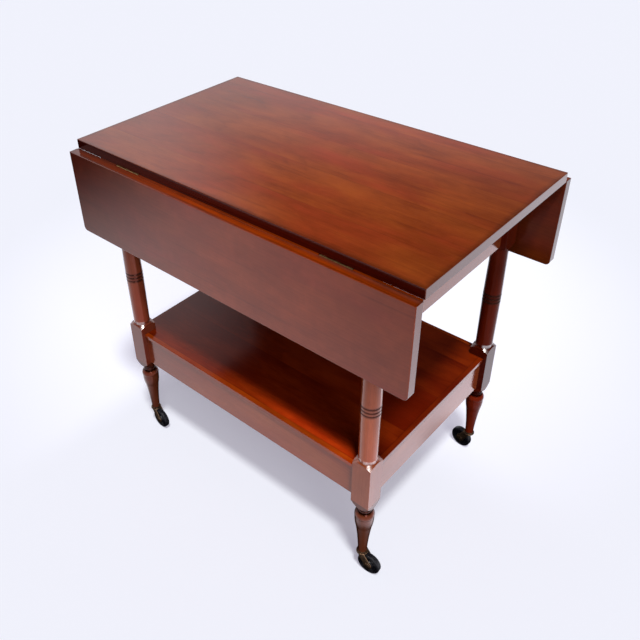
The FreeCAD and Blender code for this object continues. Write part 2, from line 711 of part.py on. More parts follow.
def corner_block():
    """The three-cornered block that ties apron to apron and holds the top down, at +X and +Y."""
    body = new_body("corner_block", "block_corner_x", "leg_inner_y", "underside - block_high")
    sketch = new_sketch(body, "corner_block_outline", "XY_Plane")
    outline(sketch, [("0", "0"), ("-block_side", "0"), ("0", "-block_side")])
    pad(body, "corner_block_pad", sketch, "block_high")
    sketch = new_sketch(body, "corner_block_hole", "XY_Plane")
    circles(sketch, "screw_radius + screw_hole_room", [("-block_side / 3", "-block_side / 3")])
    pocket(body, "corner_block_bored", sketch, "block_high", back=True)
    return body


def shelf_block():
    """A glue block in the angle of a long rail and the shelf, at +X and +Y."""
    body = new_body("shelf_block", "shelf_block_x", "shelf_block_y", "shelf_under - block_high")
    sketch = new_sketch(body, "shelf_block_outline", "XY_Plane")
    rectangle(sketch, "-shelf_block_long / 2", "-shelf_block_wide / 2",
              "shelf_block_long / 2", "shelf_block_wide / 2")
    pad(body, "shelf_block_pad", sketch, "block_high")
    sketch = new_sketch(body, "shelf_block_hole", "XY_Plane")
    circles(sketch, "screw_radius + screw_hole_room", [("0", "0")])
    pocket(body, "shelf_block_bored", sketch, "block_high", back=True)
    return body


# ---------------------------------------------------------------- hinges and stays


def hinge_plate(name, own_knuckles):
    """One plate of a hinge, made round its pin at the origin and reaching towards +Y."""
    plate_z = "barrel_radius - plate_thick"
    room = "(barrel_radius + knuckle_gap)"
    plate_wide = "(hinge_reach - %s)" % room
    parts = [box(name + "_plate", "hinge_long", plate_wide, "plate_thick", "0",
                 "%s + %s / 2" % (room, plate_wide), plate_z)]
    for index in own_knuckles:
        middle = "(%d - (knuckles - 1) / 2) * knuckle_pitch" % index
        long = "(knuckle_pitch - knuckle_gap)"
        parts.append(rod("%s_knuckle%d" % (name, index), "barrel_radius", long, middle, "0", "0", "X"))
        parts.append(box("%s_tab%d" % (name, index), long, room, "plate_thick", middle,
                         room + " / 2", plate_z))
    tools = [rod(name + "_bore", "pin_radius + running_room", "2 * hinge_long", "0", "0", "0", "X")]
    for step in (-1, 0, 1):
        tools.append(countersink("%s_sink%d" % (name, step + 1), "%d * hinge_screw_pitch" % step,
                                 "hinge_screw_reach", plate_z))
    return cut(name, fuse(name + "_solid", parts), tools)


def stay():
    """The stay of the back leaf, hanging folded against it, with a rounded foot."""
    reach = "(stay_long / 2)"
    bar = box("stay_bar", "stay_wide", "stay_thick", "stay_long", "0", "stay_pivot_y",
              "stay_pivot_z - stay_long")
    eye = rod("stay_eye", "stay_eye_radius", "stay_wide", "0", "stay_pivot_y", "stay_pivot_z", "X")
    foot = rod("stay_foot", "stay_foot_radius", "stay_wide", "0", "stay_pivot_y",
               "stay_pivot_z - 2 * " + reach, "X")
    bore = rod("stay_bore", "stay_pin_radius + running_room", "2 * stay_wide", "0", "stay_pivot_y",
               "stay_pivot_z", "X")
    return cut("back_stay_bar", fuse("stay_solid", [bar, eye, foot]), [bore])


def stay_bracket():
    """The bracket on the inner face of the back leaf, with two ears for the stay's pin."""
    parts = [box("bracket_base", "2 * bracket_half_long", "plate_thick", "2 * bracket_half_wide", "0",
                 "leaf_inner - plate_thick / 2", "stay_pivot_z - bracket_half_wide")]
    for side in (-1, 1):
        middle = "%d * (stay_wide / 2 + ear_room + plate_thick / 2)" % side
        parts.append(rod("bracket_ear%d" % (side + 1), "ear_radius", "plate_thick", middle,
                         "stay_pivot_y", "stay_pivot_z", "X"))
        parts.append(box("bracket_web%d" % (side + 1), "plate_thick", "stay_pivot_drop", "2 * ear_radius",
                         middle, "stay_pivot_y + stay_pivot_drop / 2", "stay_pivot_z - ear_radius"))
    tools = [rod("bracket_bore", "stay_pin_radius + running_room", "2 * bracket_half_long", "0",
                 "stay_pivot_y", "stay_pivot_z", "X")]
    for side in (-1, 1):
        hole = countersink("bracket_sink%d" % (side + 1), "0", "0", "0")
        hole.Placement = Placement(Vector(), AXIS_TURN["Y"])
        tools.append(place(hole, "%d * bracket_screw_x" % side, "leaf_inner - plate_thick", "stay_pivot_z"))
    return cut("back_stay_bracket_solid", fuse("bracket_solid", parts), tools)


def stay_catch():
    """The catch on the back apron: a plate with a ramp and a small step for the stay's foot."""
    body = new_body("stay_catch_body", "-catch_half_long", "apron_outer")
    section = new_sketch(body, "catch_section", "YZ_Plane")
    step_z = "foot_z - stay_foot_radius - catch_room"
    outline(section, [
        ("0", "foot_z - catch_fall"),
        ("plate_thick", "foot_z - catch_fall"),
        ("plate_thick", step_z + " - catch_ramp"),
        ("plate_thick + catch_step", step_z),
        ("plate_thick", step_z),
        ("plate_thick", "foot_z + catch_rise"),
        ("0", "foot_z + catch_rise"),
    ])
    pad(body, "catch_pad", section, "2 * catch_half_long")
    tools = []
    for side in (-1, 1):
        hole = countersink("catch_sink%d" % (side + 1), "0", "0", "0")
        hole.Placement = Placement(Vector(), Rotation(Vector(1, 0, 0), 90))
        tools.append(place(hole, "%d * bracket_screw_x" % side, "apron_outer + plate_thick", "foot_z"))
    return cut("back_stay_catch_solid", body, tools)


# ---------------------------------------------------------------- casters, made under the origin


def caster_socket():
    """The flanged socket that is driven into the end of a leg."""
    body = new_body("caster_socket", "leg_x", "leg_y")
    profile = new_sketch(body, "socket_profile", "XZ_Plane")
    outline(profile, [
        ("socket_bore", "foot_height - flange_thick"), ("flange_radius", "foot_height - flange_thick"),
        ("flange_radius", "foot_height"), ("socket_radius", "foot_height"),
        ("socket_radius", "foot_height + socket_deep"), ("socket_bore", "foot_height + socket_deep"),
    ])
    revolve(body, "socket_turned", profile)
    return body


def caster_stem():
    """The stem, riveted under the crown of the fork."""
    body = new_body("caster_stem")
    profile = new_sketch(body, "stem_profile", "XZ_Plane")
    tip = "foot_height + stem_long"
    outline(profile, [
        ("0", "crown_under - stem_rivet_high"), ("stem_rivet_radius", "crown_under - stem_rivet_high"),
        ("stem_rivet_radius", "crown_under"), ("stem_radius", "crown_under"),
        ("stem_radius", tip + " - stem_radius / 2"), ("stem_radius / 2", tip), ("0", tip),
    ])
    revolve(body, "stem_turned", profile)
    return body


def caster_fork():
    """The stamped fork: a round crown and two arms that reach down and forward to the axle."""
    body = new_body("caster_fork")
    sketch = new_sketch(body, "fork_arms", "XZ_Plane", "-fork_outer")
    outline(sketch, [
        ("-arm_back", "crown_top"), ("trail - boss_x", "wheel_radius - boss_z"),
        ("trail + boss_x", "wheel_radius + boss_z"), ("arm_front", "crown_top"),
    ])
    pad(body, "fork_arm_pad", sketch, "2 * fork_outer")
    sketch = new_sketch(body, "fork_bosses", "XZ_Plane", "-fork_outer")
    circles(sketch, "boss_radius", [("trail", "wheel_radius")])
    pad(body, "fork_boss_pad", sketch, "2 * fork_outer")
    sketch = new_sketch(body, "fork_hollow", "XY_Plane", "crown_under")
    rectangle(sketch, "-crown_radius - arm_back", "-fork_inner", "2 * trail + crown_radius", "fork_inner")
    pocket(body, "fork_hollowed", sketch, "crown_under")
    sketch = new_sketch(body, "fork_crown", "XY_Plane", "crown_under")
    circles(sketch, "crown_radius", [("0", "0")])
    pad(body, "fork_crown_pad", sketch, "crown_thick")
    sketch = new_sketch(body, "fork_axle_hole", "XZ_Plane", "-fork_outer")
    circles(sketch, "axle_radius + running_room", [("trail", "wheel_radius")])
    pocket(body, "fork_axle_bored", sketch, "2 * fork_outer", back=True)
    sketch = new_sketch(body, "fork_stem_hole", "XY_Plane", "crown_under")
    circles(sketch, "stem_radius + running_room", [("0", "0")])
    pocket(body, "fork_stem_bored", sketch, "crown_thick", back=True)
    return body


def caster_axle():
    """The riveted axle through both arms."""
    shank = rod("axle_shank", "axle_radius", "2 * fork_outer", "trail", "0", "wheel_radius", "Y")
    heads = []
    for side in (-1, 1):
        middle = "%d * (fork_outer + rivet_high / 2)" % side
        heads.append(rod("axle_head%d" % (side + 1), "rivet_radius", "rivet_high", "trail", middle,
                         "wheel_radius", "Y"))
    return fuse("caster_axle", [shank] + heads)


def caster_wheel():
    """The wheel: a tread, a dished web with a raised middle ring, and a hub."""
    body = new_body("caster_wheel", x="trail", z="wheel_radius")
    profile = new_sketch(body, "wheel_profile", "XY_Plane")
    bore = "axle_radius + running_room"
    tread = "wheel_radius - tread_curve"
    outline(profile, [
        (bore, "-wheel_wide / 2"), ("hub_radius", "-wheel_wide / 2"),
        ("hub_radius", "-web_wide / 2"), ("step_radius - hub_radius / 4", "-web_wide / 2"),
        ("step_radius", "-step_wide / 2"), ("step_radius + hub_radius / 4", "-web_wide / 2"),
        ("rim_radius", "-web_wide / 2"), ("rim_radius", "-rim_wide / 2"),
        (tread, "-rim_wide / 2", "tread_curve"), ("wheel_radius", "-rim_wide / 2 + tread_curve"),
        ("wheel_radius", "rim_wide / 2 - tread_curve", "tread_curve"), (tread, "rim_wide / 2"),
        ("rim_radius", "rim_wide / 2"), ("rim_radius", "web_wide / 2"),
        ("step_radius + hub_radius / 4", "web_wide / 2"), ("step_radius", "step_wide / 2"),
        ("step_radius - hub_radius / 4", "web_wide / 2"), ("hub_radius", "web_wide / 2"),
        ("hub_radius", "wheel_wide / 2"), (bore, "wheel_wide / 2"),
    ])
    revolve(body, "wheel_turned", profile)
    return body


# ---------------------------------------------------------------- the assembly

NODES = {}


def keep(label, thing):
    """Record an object as a sub-part under its own label."""
    thing.Label = label
    NODES[label] = thing
    return thing


def keep_four(ending, back_right):
    """Keep a quarter's piece and its three reflections as nodes of their own."""
    keep("back_right_" + ending, back_right)
    keep("back_left_" + ending, mirrored("back_left_" + ending, back_right, ACROSS))
    front_right = keep("front_right_" + ending, mirrored("front_right_" + ending, back_right, THROUGH))
    keep("front_left_" + ending, mirrored("front_left_" + ending, front_right, ACROSS))


def keep_group_of_four(label, back_right):
    """Keep a quarter's piece and its three reflections as one node of four solids."""
    pair = [back_right, mirrored(label + "_left", back_right, ACROSS)]
    pair += [mirrored("%s_front%d" % (label, index), piece, THROUGH) for index, piece in enumerate(pair)]
    keep(label, gather(label, pair))


def keep_front_and_back(ending, back):
    """Keep a piece of the back and its reflection at the front."""
    keep("back_" + ending, back)
    keep("front_" + ending, mirrored("front_" + ending, back, THROUGH))


def build_frame():
    """The legs, aprons, rails, shelf and top, and what fixes them."""
    keep("top_board", top_board())
    keep_four("leg", back_right_leg())
    keep_front_and_back("apron", long_apron())
    keep_front_and_back("shelf_rail", rail("long_rail", "0", "leg_y", False, "leg_inner_x",
                                           "rail_thick", "rail_deep", "rail_bottom"))
    right = keep("right_apron", rail("end_apron", "leg_x", "0", True, "leg_inner_y",
                                     "apron_thick", "apron_deep", "apron_bottom"))
    keep("left_apron", mirrored("left_apron", right, ACROSS))
    right = keep("right_shelf_rail", rail("end_rail", "leg_x", "0", True, "leg_inner_y",
                                          "rail_thick", "rail_deep", "rail_bottom"))
    keep("left_shelf_rail", mirrored("left_shelf_rail", right, ACROSS))
    keep("shelf_board", shelf_board())
    back = shelf_strip("back_strip", "shelf_notch_x", "shelf_half_wide", False)
    keep("shelf_long_strips", gather("long_strips", [back, mirrored("front_strip", back, THROUGH)]))
    right = shelf_strip("right_strip", "shelf_notch_y", "shelf_half_long", True)
    keep("shelf_end_strips", gather("end_strips", [right, mirrored("left_strip", right, ACROSS)]))
    keep_group_of_four("corner_blocks", corner_block())
    keep_group_of_four("shelf_blocks", shelf_block())
    keep_group_of_four("top_screws", placed("top_screw", block_screw("top_screw_master", "top_screw_long"),
                                            "block_screw_x", "block_screw_y", "underside - block_high"))
    keep_group_of_four("shelf_screws", placed("shelf_screw",
                                              block_screw("shelf_screw_master", "shelf_screw_long"),
                                              "shelf_block_x", "shelf_block_y", "shelf_under - block_high"))


def build_leaves():
    """The two leaves, their hinges and stays, and the brass screws that hold them."""
    screw = brass_screw()
    keep_front_and_back("leaf", back_leaf())
    every_other = range(0, int(number("knuckles")), 2)
    between = range(1, int(number("knuckles")), 2)
    keep_four("hinge_top_plate", placed("back_right_top_plate", hinge_plate("top_plate", every_other),
                                        "hinge_x", "pin_y", "pin_z", Rotation(Vector(0, 0, 1), 180)))
    keep_four("hinge_leaf_plate", placed("back_right_leaf_plate", hinge_plate("leaf_plate", between),
                                         "hinge_x", "pin_y", "pin_z", AXIS_TURN["Y"]))
    keep_group_of_four("hinge_pins", rod("hinge_pin", "pin_radius", "hinge_long", "hinge_x", "pin_y",
                                         "pin_z", "X"))
    keep_front_and_back("stay", stay())
    keep_front_and_back("stay_bracket", stay_bracket())
    keep_front_and_back("stay_catch", stay_catch())
    keep_front_and_back("stay_pin", rod("stay_pin", "stay_pin_radius", "stay_pin_long", "0",
                                        "stay_pivot_y", "stay_pivot_z", "X"))
    frame_screws = []
    leaf_screws = []
    for index, x in enumerate(hinge_screw_xs()):
        for sign in ("", "-"):
            name = "hinge_screw%d%s" % (index, "_left" if sign else "")
            frame_screws.append(placed("top_" + name, screw, sign + x, "hinge_screw_y",
                                       "underside - plate_thick"))
            leaf_screws.append(placed("leaf_" + name, screw, sign + x, "leaf_inner - plate_thick",
                                      "pin_z - hinge_screw_reach", AXIS_TURN["Y"]))
    for index, sign in enumerate(("", "-")):
        leaf_screws.append(placed("bracket_screw%d" % index, screw, sign + "bracket_screw_x",
                                  "leaf_inner - plate_thick", "stay_pivot_z", AXIS_TURN["Y"]))
        frame_screws.append(placed("catch_screw%d" % index, screw, sign + "bracket_screw_x",
                                   "apron_outer + plate_thick", "foot_z", Rotation(Vector(1, 0, 0), 90)))
    keep_front_and_back("leaf_screws", gather("back_leaf_screw_group", leaf_screws))
    keep_front_and_back("frame_screws", gather("back_frame_screw_group", frame_screws))


def build_casters():
    """Four swivel casters, each turned its own way."""
    keep_group_of_four("caster_sockets", caster_socket())
    masters = {
        "caster_fork": caster_fork(), "caster_stem": caster_stem(),
        "caster_axle": caster_axle(), "wheel": caster_wheel(),
    }
    for corner, sign_x, sign_y in (("front_left", "-", "-"), ("front_right", "", "-"),
                                   ("back_left", "-", ""), ("back_right", "", "")):
        for ending, master in masters.items():
            label = "%s_%s" % (corner, ending)
            copy = placed(label, master, sign_x + "leg_x", sign_y + "leg_y", "0",
                          Rotation(Vector(0, 0, 1), 1))
            bind(copy, "Placement.Rotation.Angle", corner + "_turn")
            keep(label, copy)


def write_parts():
    """Check the document and write each sub-part to its own STEP file."""
    doc.recompute()
    for thing in doc.Objects:
        faults = [state for state in thing.State if state in ("Invalid", "Error")]
        if faults:
            raise RuntimeError("%s is %s" % (thing.Name, faults))
    for label, thing in NODES.items():
        if thing.Shape.isNull() or not thing.Shape.isValid() or not thing.Shape.Solids:
            raise RuntimeError(label + " has no valid solid")
    os.makedirs("parts", exist_ok=True)
    for label, thing in NODES.items():
        thing.Shape.exportStep("parts/%s.step" % label)
        print("%-28s %2d solids %12.1f mm3" % (label, len(thing.Shape.Solids), thing.Shape.Volume))
    print(len(NODES), "nodes")


build_frame()
build_leaves()
build_casters()
write_parts()
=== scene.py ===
"""A drop leaf tea trolley: its finishes, its modelled pieces, the studio and the camera."""

import logging
import math
from dataclasses import dataclass
from enum import Enum
from typing import Callable, ClassVar, Iterable, Sequence

import bmesh
import bpy
from mathutils import Matrix, Vector


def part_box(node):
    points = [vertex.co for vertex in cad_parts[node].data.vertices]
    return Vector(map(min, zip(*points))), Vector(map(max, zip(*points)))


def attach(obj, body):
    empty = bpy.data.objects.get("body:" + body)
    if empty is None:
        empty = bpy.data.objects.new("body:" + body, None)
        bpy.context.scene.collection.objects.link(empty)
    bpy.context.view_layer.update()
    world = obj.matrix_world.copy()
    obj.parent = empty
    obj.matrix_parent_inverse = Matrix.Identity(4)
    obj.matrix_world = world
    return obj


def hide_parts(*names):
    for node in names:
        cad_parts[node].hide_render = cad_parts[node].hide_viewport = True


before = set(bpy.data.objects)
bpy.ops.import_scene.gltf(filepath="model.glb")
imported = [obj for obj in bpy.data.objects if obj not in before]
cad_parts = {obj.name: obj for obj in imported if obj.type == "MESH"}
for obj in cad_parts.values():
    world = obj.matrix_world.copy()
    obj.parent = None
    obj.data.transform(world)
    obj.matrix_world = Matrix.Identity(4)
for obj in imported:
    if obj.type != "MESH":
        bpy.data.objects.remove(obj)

NEAR = 0.0001  # metres within which two places are taken as one
FACING = 0.9  # part of a face's direction that lies along an axis which it is taken to face
LOG = logging.getLogger("tea_trolley")

Triple = tuple[float, float, float]
Range = tuple[float, float]
Socket = bpy.types.NodeSocket
Feed = float | Sequence[float] | Socket


# ---------------------------------------------------------------- node trees


class Tree:
    """A node tree, grown node by node."""

    def __init__(self, tree: bpy.types.NodeTree) -> None:
        """Start with an empty tree."""
        self.tree = tree
        self.tree.nodes.clear()

    def feed(self, socket: Socket, value: Feed) -> None:
        """Link a socket to another, or set it to a constant."""
        if isinstance(value, Socket):
            self.tree.links.new(value, socket)
        else:
            socket.default_value = value

    def node(self, kind: str, feeds: dict[str | int, Feed], **settings: object) -> bpy.types.Node:
        """Add a node.

        Args:
            kind: the node's type, without the ShaderNode in front.
            feeds: what goes into its inputs, by name or number.
            settings: its options.

        Returns:
            The new node.
        """
        made = self.tree.nodes.new("ShaderNode" + kind)
        for option, value in settings.items():
            setattr(made, option, value)
        for place, value in feeds.items():
            self.feed(made.inputs[place], value)
        return made

    def number(self, operation: str, *values: Feed) -> Socket:
        """One step of arithmetic on numbers."""
        return self.node("Math", dict(enumerate(values)), operation=operation).outputs[0]

    def vector(self, operation: str, *values: Feed) -> Socket:
        """One step of arithmetic on vectors."""
        made = self.node("VectorMath", dict(enumerate(values)), operation=operation)
        return made.outputs["Value" if operation == "LENGTH" else "Vector"]

    def times(self, first: Feed, *others: Feed) -> Feed:
        """The product of numbers."""
        for other in others:
            first = self.number("MULTIPLY", first, other)
        return first

    def plus(self, first: Feed, *others: Feed) -> Feed:
        """The total of numbers."""
        for other in others:
            first = self.number("ADD", first, other)
        return first

    def minus(self, first: Feed, second: Feed) -> Socket:
        """The difference of two numbers."""
        return self.number("SUBTRACT", first, second)

    def size(self, value: Feed) -> Socket:
        """A number without its sign."""
        return self.number("ABSOLUTE", value)

    def split(self, vector: Feed) -> list[Socket]:
        """The three parts of a vector."""
        return list(self.node("SeparateXYZ", {0: vector}).outputs)

    def join(self, x: Feed, y: Feed, z: Feed) -> Socket:
        """A vector from its three parts."""
        return self.node("CombineXYZ", {0: x, 1: y, 2: z}).outputs[0]

    def grey(self, value: Feed) -> Socket:
        """The grey whose three parts are a number."""
        return self.node("CombineColor", {0: value, 1: value, 2: value}).outputs[0]

    def noise(self, where: Feed, scale: float, detail: float, roughness: float) -> Socket:
        """Cloudy noise from 0 to 1 at a place."""
        feeds = {"Vector": where, "Scale": scale, "Detail": detail, "Roughness": roughness}
        return self.node("TexNoise", feeds).outputs[0]

    def chance(self, number: Feed) -> Socket:
        """A fixed random value from 0 to 1 for each whole number."""
        return self.node("TexWhiteNoise", {"W": number}, noise_dimensions="1D").outputs[0]

    def span(self, value: Feed, low: float, high: float, to_low: float = 0, to_high: float = 1,
             smooth: bool = True) -> Socket:
        """Carry a value from one range to another, held at the ends."""
        feeds = {0: value, 1: low, 2: high, 3: to_low, 4: to_high}
        return self.node("MapRange", feeds,
                         interpolation_type="SMOOTHSTEP" if smooth else "LINEAR").outputs[0]

    def mix(self, share: Feed, first: Feed, second: Feed, blend: str = "MIX") -> Socket:
        """Two colours mixed by a share."""
        made = self.node("Mix", {0: share}, data_type="RGBA", blend_type=blend)
        self.feed(made.inputs[6], solid(first))
        self.feed(made.inputs[7], solid(second))
        return made.outputs[2]

    def place(self) -> Socket:
        """The place on the object, in metres."""
        return self.node("TexCoord", {}).outputs["Object"]

    def facing(self) -> list[Socket]:
        """The three parts of the surface's direction in the object's frame."""
        return self.split(self.node("TexCoord", {}).outputs["Normal"])


class Graph(Tree):
    """The node tree of one material, grown from its principled surface."""

    def __init__(self, name: str) -> None:
        """Start a material with a surface and an output."""
        self.material = bpy.data.materials.new(name)
        self.material.use_nodes = True
        super().__init__(self.material.node_tree)
        self.surface = self.node("BsdfPrincipled", {})
        self.node("OutputMaterial", {0: self.surface.outputs[0]})

    def rough(self, height: Feed, distance: float, strength: float) -> None:
        """Raise the surface by a height from 0 to 1 times a distance in metres."""
        feeds = {"Height": height, "Distance": distance, "Strength": strength}
        self.feed(self.surface.inputs["Normal"], self.node("Bump", feeds).outputs[0])

    def finish(self, **values: Feed) -> bpy.types.Material:
        """Set the surface's inputs, spaces written as underscores, and give the material."""
        for name, value in values.items():
            self.feed(self.surface.inputs[name.replace("_", " ")], solid(value))
        return self.material


def solid(value: Feed) -> Feed:
    """Give a colour of three numbers its fourth."""
    if isinstance(value, tuple) and len(value) == 3:
        return (*value, 1)
    return value


def shaded(colour: Triple, share: float) -> Triple:
    """A colour with a share of its light."""
    return tuple(part * share for part in colour)


class Grain(Enum):
    """The way the grain of a piece runs. The value puts along, across and through in order."""

    LENGTHWISE = (0, 1, 2)
    CROSSWISE = (1, 0, 2)
    UPRIGHT = (2, 0, 1)


# ---------------------------------------------------------------- finishes


@dataclass(frozen=True)
class Layer:
    """One layer of noise, with its fineness along, across and through the grain."""

    fineness: Triple
    detail: float
    roughness: float

    def at(self, graph: Graph, where: Feed) -> Socket:
        """The layer's noise from 0 to 1 at a place."""
        return graph.noise(graph.vector("MULTIPLY", where, self.fineness), 1, self.detail, self.roughness)


@dataclass(frozen=True)
class Marks:
    """Dark marks in the wood, where a layer of noise is high."""

    start: float
    full: float
    strength: float
    colour: Triple

    def over(self, graph: Graph, noise: Feed, colour: Feed) -> Socket:
        """Lay the marks over a colour."""
        share = graph.span(noise, self.start, self.full, 0.0, self.strength)
        return graph.mix(share, colour, self.colour)


@dataclass(frozen=True)
class Stain:
    """The colours that stained cherry has in its pale, dark and reddish parts."""

    light: Triple
    dark: Triple
    red: Triple


@dataclass(frozen=True)
class Cherry:
    """Stained and lacquered cherry, flat sawn.

    Painted shade darkens the colour towards the left end and near a board's border; at the right end a
    share below 1 paints shade and one above 1 paints light; and a painted lit strip brightens the
    shelf's front. Painted light colours the leaves' edges that face up and down, and painted shade the
    top's front and back edge faces. The burnt rings, the tones and the shining corners of a turned leg
    have their own looks too. Plank is the width of a stave, seed shifts the figure, and a tone is a low
    height, a high height and the share of the colour that is left between them.
    """

    name: str
    grain: Grain
    stain: Stain = Stain((0.40, 0.088, 0.026), (0.25, 0.045, 0.011), (0.33, 0.052, 0.018))
    # A colour painted on the edge faces that face the axis below: painted light on the leaves, painted shade
    # on the top.
    edge: Triple | None = None
    painted_edge_axis: int = 2
    plank: float = 0
    seed: float = 0
    # Width of the painted shade along a board's border, in metres.
    shaded_rim: float = 0
    # Shares of colour at the ends: painted shade at the left end; at the right end below 1 paints shade,
    # above 1 light.
    left_painted_shade: float = 0.62
    right_painted_lighting: float = 0.80
    rings: tuple[float, ...] = ()
    tones: tuple[Triple, ...] = ()
    # How much painted light brightens a strip along the shelf's front.
    painted_lit_strip: float = 0
    bright_band: Range | None = None
    gloss: float = 1.6

    cloud: ClassVar[Layer] = Layer((8.0, 19.0, 19.0), 5, 0.62)
    warmth: ClassVar[Layer] = Layer((3.0, 10.0, 10.0), 3, 0.5)
    streak: ClassVar[Layer] = Layer((5.0, 420.0, 420.0), 4, 0.7)
    vein: ClassVar[Layer] = Layer((2.4, 150.0, 150.0), 3, 0.55)
    fibre: ClassVar[Layer] = Layer((55.0, 2300.0, 2300.0), 2, 0.6)
    vein_marks: ClassVar[Marks] = Marks(0.58, 0.74, 0.20, (0.06, 0.010, 0.003))
    fibre_marks: ClassVar[Marks] = Marks(0.58, 0.72, 0.28, (0.03, 0.004, 0.001))
    cloud_share: ClassVar[float] = 0.68
    streak_share: ClassVar[float] = 0.32
    red_span: ClassVar[Range] = (0.42, 0.62)
    pale_span: ClassVar[Range] = (0.31, 0.64)
    joint_half: ClassVar[float] = 0.0007
    joint_strength: ClassVar[float] = 0.30
    joint_colour: ClassVar[Triple] = (0.02, 0.003, 0.001)
    stave_share: ClassVar[float] = 0.06
    stave_apart: ClassVar[float] = 9.0
    stave_lift: ClassVar[float] = 0.02
    stave_shift: ClassVar[float] = 0.05
    year_share: ClassVar[float] = 0.07
    year_pitch: ClassVar[float] = 0.0075
    year_tilt: ClassVar[float] = 0.035
    year_wander: ClassVar[float] = 0.075
    year_power: ClassVar[float] = 2.5
    # Where the painted shading at the two ends fades in.
    left_fade: ClassVar[Range] = (-0.42, 0.02)
    right_fade: ClassVar[Range] = (0.16, 0.40)
    # Painted shade at a board's border: the share of colour left there, and where it starts and ends as
    # multiples of its width.
    rim_painted_shade: ClassVar[float] = 0.52
    rim_shares: ClassVar[Range] = (0.3, 1.6)
    # Where the painted lit strip lies: across the shelf's front, and how it grows towards the right.
    painted_lit_strip_deep: ClassVar[Range] = (-0.205, -0.183)
    painted_lit_strip_long: ClassVar[Range] = (0.0, 0.17)
    tone_blur: ClassVar[float] = 0.0015
    # How squarely a face must face that axis to take the painted edge colour; the edge shade darkens its
    # streaks.
    painted_edge_facing: ClassVar[Range] = (0.70, 0.97)
    edge_shade: ClassVar[float] = 0.55
    end_facing: ClassVar[Range] = (0.75, 0.95)
    end_strength: ClassVar[float] = 0.85
    end_shades: ClassVar[Range] = (0.3, 0.9)
    burn_soft: ClassVar[Range] = (0.0004, 0.0042)
    burn_strength: ClassVar[float] = 0.85
    burn_colour: ClassVar[Triple] = (0.060, 0.022, 0.015)
    band_blur: ClassVar[float] = 0.001
    band_corner: ClassVar[Range] = (0.10, 0.20)
    relief: ClassVar[float] = 0.00008
    haze: ClassVar[float] = 0.15
    sheen: ClassVar[Triple] = (0.6, 0.2, 0.17)

    def staves(self, graph: Graph) -> tuple[Feed, Feed, Feed, Feed, Feed]:
        """Where a point lies in its stave.

        Args:
            graph: the material's tree.

        Returns:
            The place along the grain, across it and through it, a value of its own for the stave, and
            the joint line's strength.
        """
        place = graph.split(graph.place())
        along, across, through = (place[axis] for axis in self.grain.value)
        if not self.plank:
            return graph.plus(along, self.seed), across, through, 0.5, 0.0
        number = graph.plus(graph.number("DIVIDE", across, self.plank), self.seed)
        chance = graph.chance(graph.number("FLOOR", number))
        middle = graph.minus(graph.number("FRACT", number), 0.5)
        joint = graph.span(graph.size(middle), 0.5 - self.joint_half / self.plank, 0.5)
        return (graph.plus(along, graph.times(chance, self.stave_apart)),
                graph.times(middle, self.plank), through, chance, joint)

    def figure(self, graph: Graph, along: Feed, across: Feed, through: Feed, chance: Feed) -> Feed:
        """The year rings of a flat-sawn board: arches along the middle, straight lines at the sides.

        Args:
            graph: the material's tree.
            along: the place along the grain.
            across: the place across it.
            through: the place through it.
            chance: the stave's own value.

        Returns:
            The tone, from 0 in the pale early wood to 1 at the dark line of the late wood.
        """
        wander = graph.noise(graph.join(graph.times(along, 2.2), graph.times(across, 9.0), chance), 1, 2, 0.5)
        depth = graph.plus(graph.times(along, self.year_tilt), graph.times(wander, self.year_wander),
                           through, graph.times(chance, self.stave_lift))
        side = graph.plus(across, graph.times(graph.minus(chance, 0.5), self.stave_shift))
        reach = graph.vector("LENGTH", graph.join(side, depth, 0.0))
        phase = graph.number("FRACT", graph.number("DIVIDE", reach, self.year_pitch))
        rise = graph.number("POWER", phase, self.year_power)
        return graph.times(rise, graph.span(phase, 0.9, 1.0, 1.0, 0.0))

    def wood(self, graph: Graph) -> tuple[Feed, Feed, Feed]:
        """The stained wood before edges, rings and shading.

        Args:
            graph: the material's tree.

        Returns:
            The colour, the streaks and the fibres.
        """
        along, across, through, chance, joint = self.staves(graph)
        where = graph.join(along, across, graph.plus(through, chance))
        figure = self.figure(graph, along, across, through, chance)
        streak, fibre = self.streak.at(graph, where), self.fibre.at(graph, where)
        body = graph.plus(graph.times(self.cloud.at(graph, where), self.cloud_share),
                          graph.times(streak, self.streak_share))
        body = graph.minus(body, graph.times(figure, self.year_share))
        body = graph.plus(body, graph.times(chance, self.stave_share))
        redness = graph.span(self.warmth.at(graph, where), *self.red_span)
        colour = graph.mix(redness, self.stain.light, self.stain.red)
        colour = graph.mix(graph.span(body, *self.pale_span, smooth=False), self.stain.dark, colour)
        colour = self.vein_marks.over(graph, self.vein.at(graph, where), colour)
        colour = self.fibre_marks.over(graph, fibre, colour)
        colour = graph.mix(graph.times(joint, self.joint_strength), colour, self.joint_colour)
        return colour, streak, fibre

    def painted_shade_at_rim(self, graph: Graph, place: Sequence[Socket]) -> Socket:
        """How much of a board's colour is left near its border, where painted shade darkens it."""
        low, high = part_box(self.name)
        inside = [graph.minus((high[axis] - low[axis]) / 2,
                              graph.size(graph.minus(place[axis], (low[axis] + high[axis]) / 2)))
                  for axis in self.grain.value[:2]]
        wobble = graph.times(graph.noise(graph.place(), 30, 3, 0.6), self.shaded_rim)
        nearest = graph.plus(graph.number("MINIMUM", *inside), wobble)
        start, end = (self.shaded_rim * share for share in self.rim_shares)
        return graph.span(nearest, start, end, self.rim_painted_shade, 1.0)

    def tone(self, graph: Graph, place: Sequence[Socket]) -> Feed:
        """How much of the colour is left at a point, after painted light and shade and the tones.

        Args:
            graph: the material's tree.
            place: the three parts of the place.

        Returns:
            The share.
        """
        # Painted shading at the left and right ends.
        tone = graph.times(graph.span(place[0], *self.left_fade, self.left_painted_shade, 1.0),
                           graph.span(place[0], *self.right_fade, 1.0, self.right_painted_lighting))
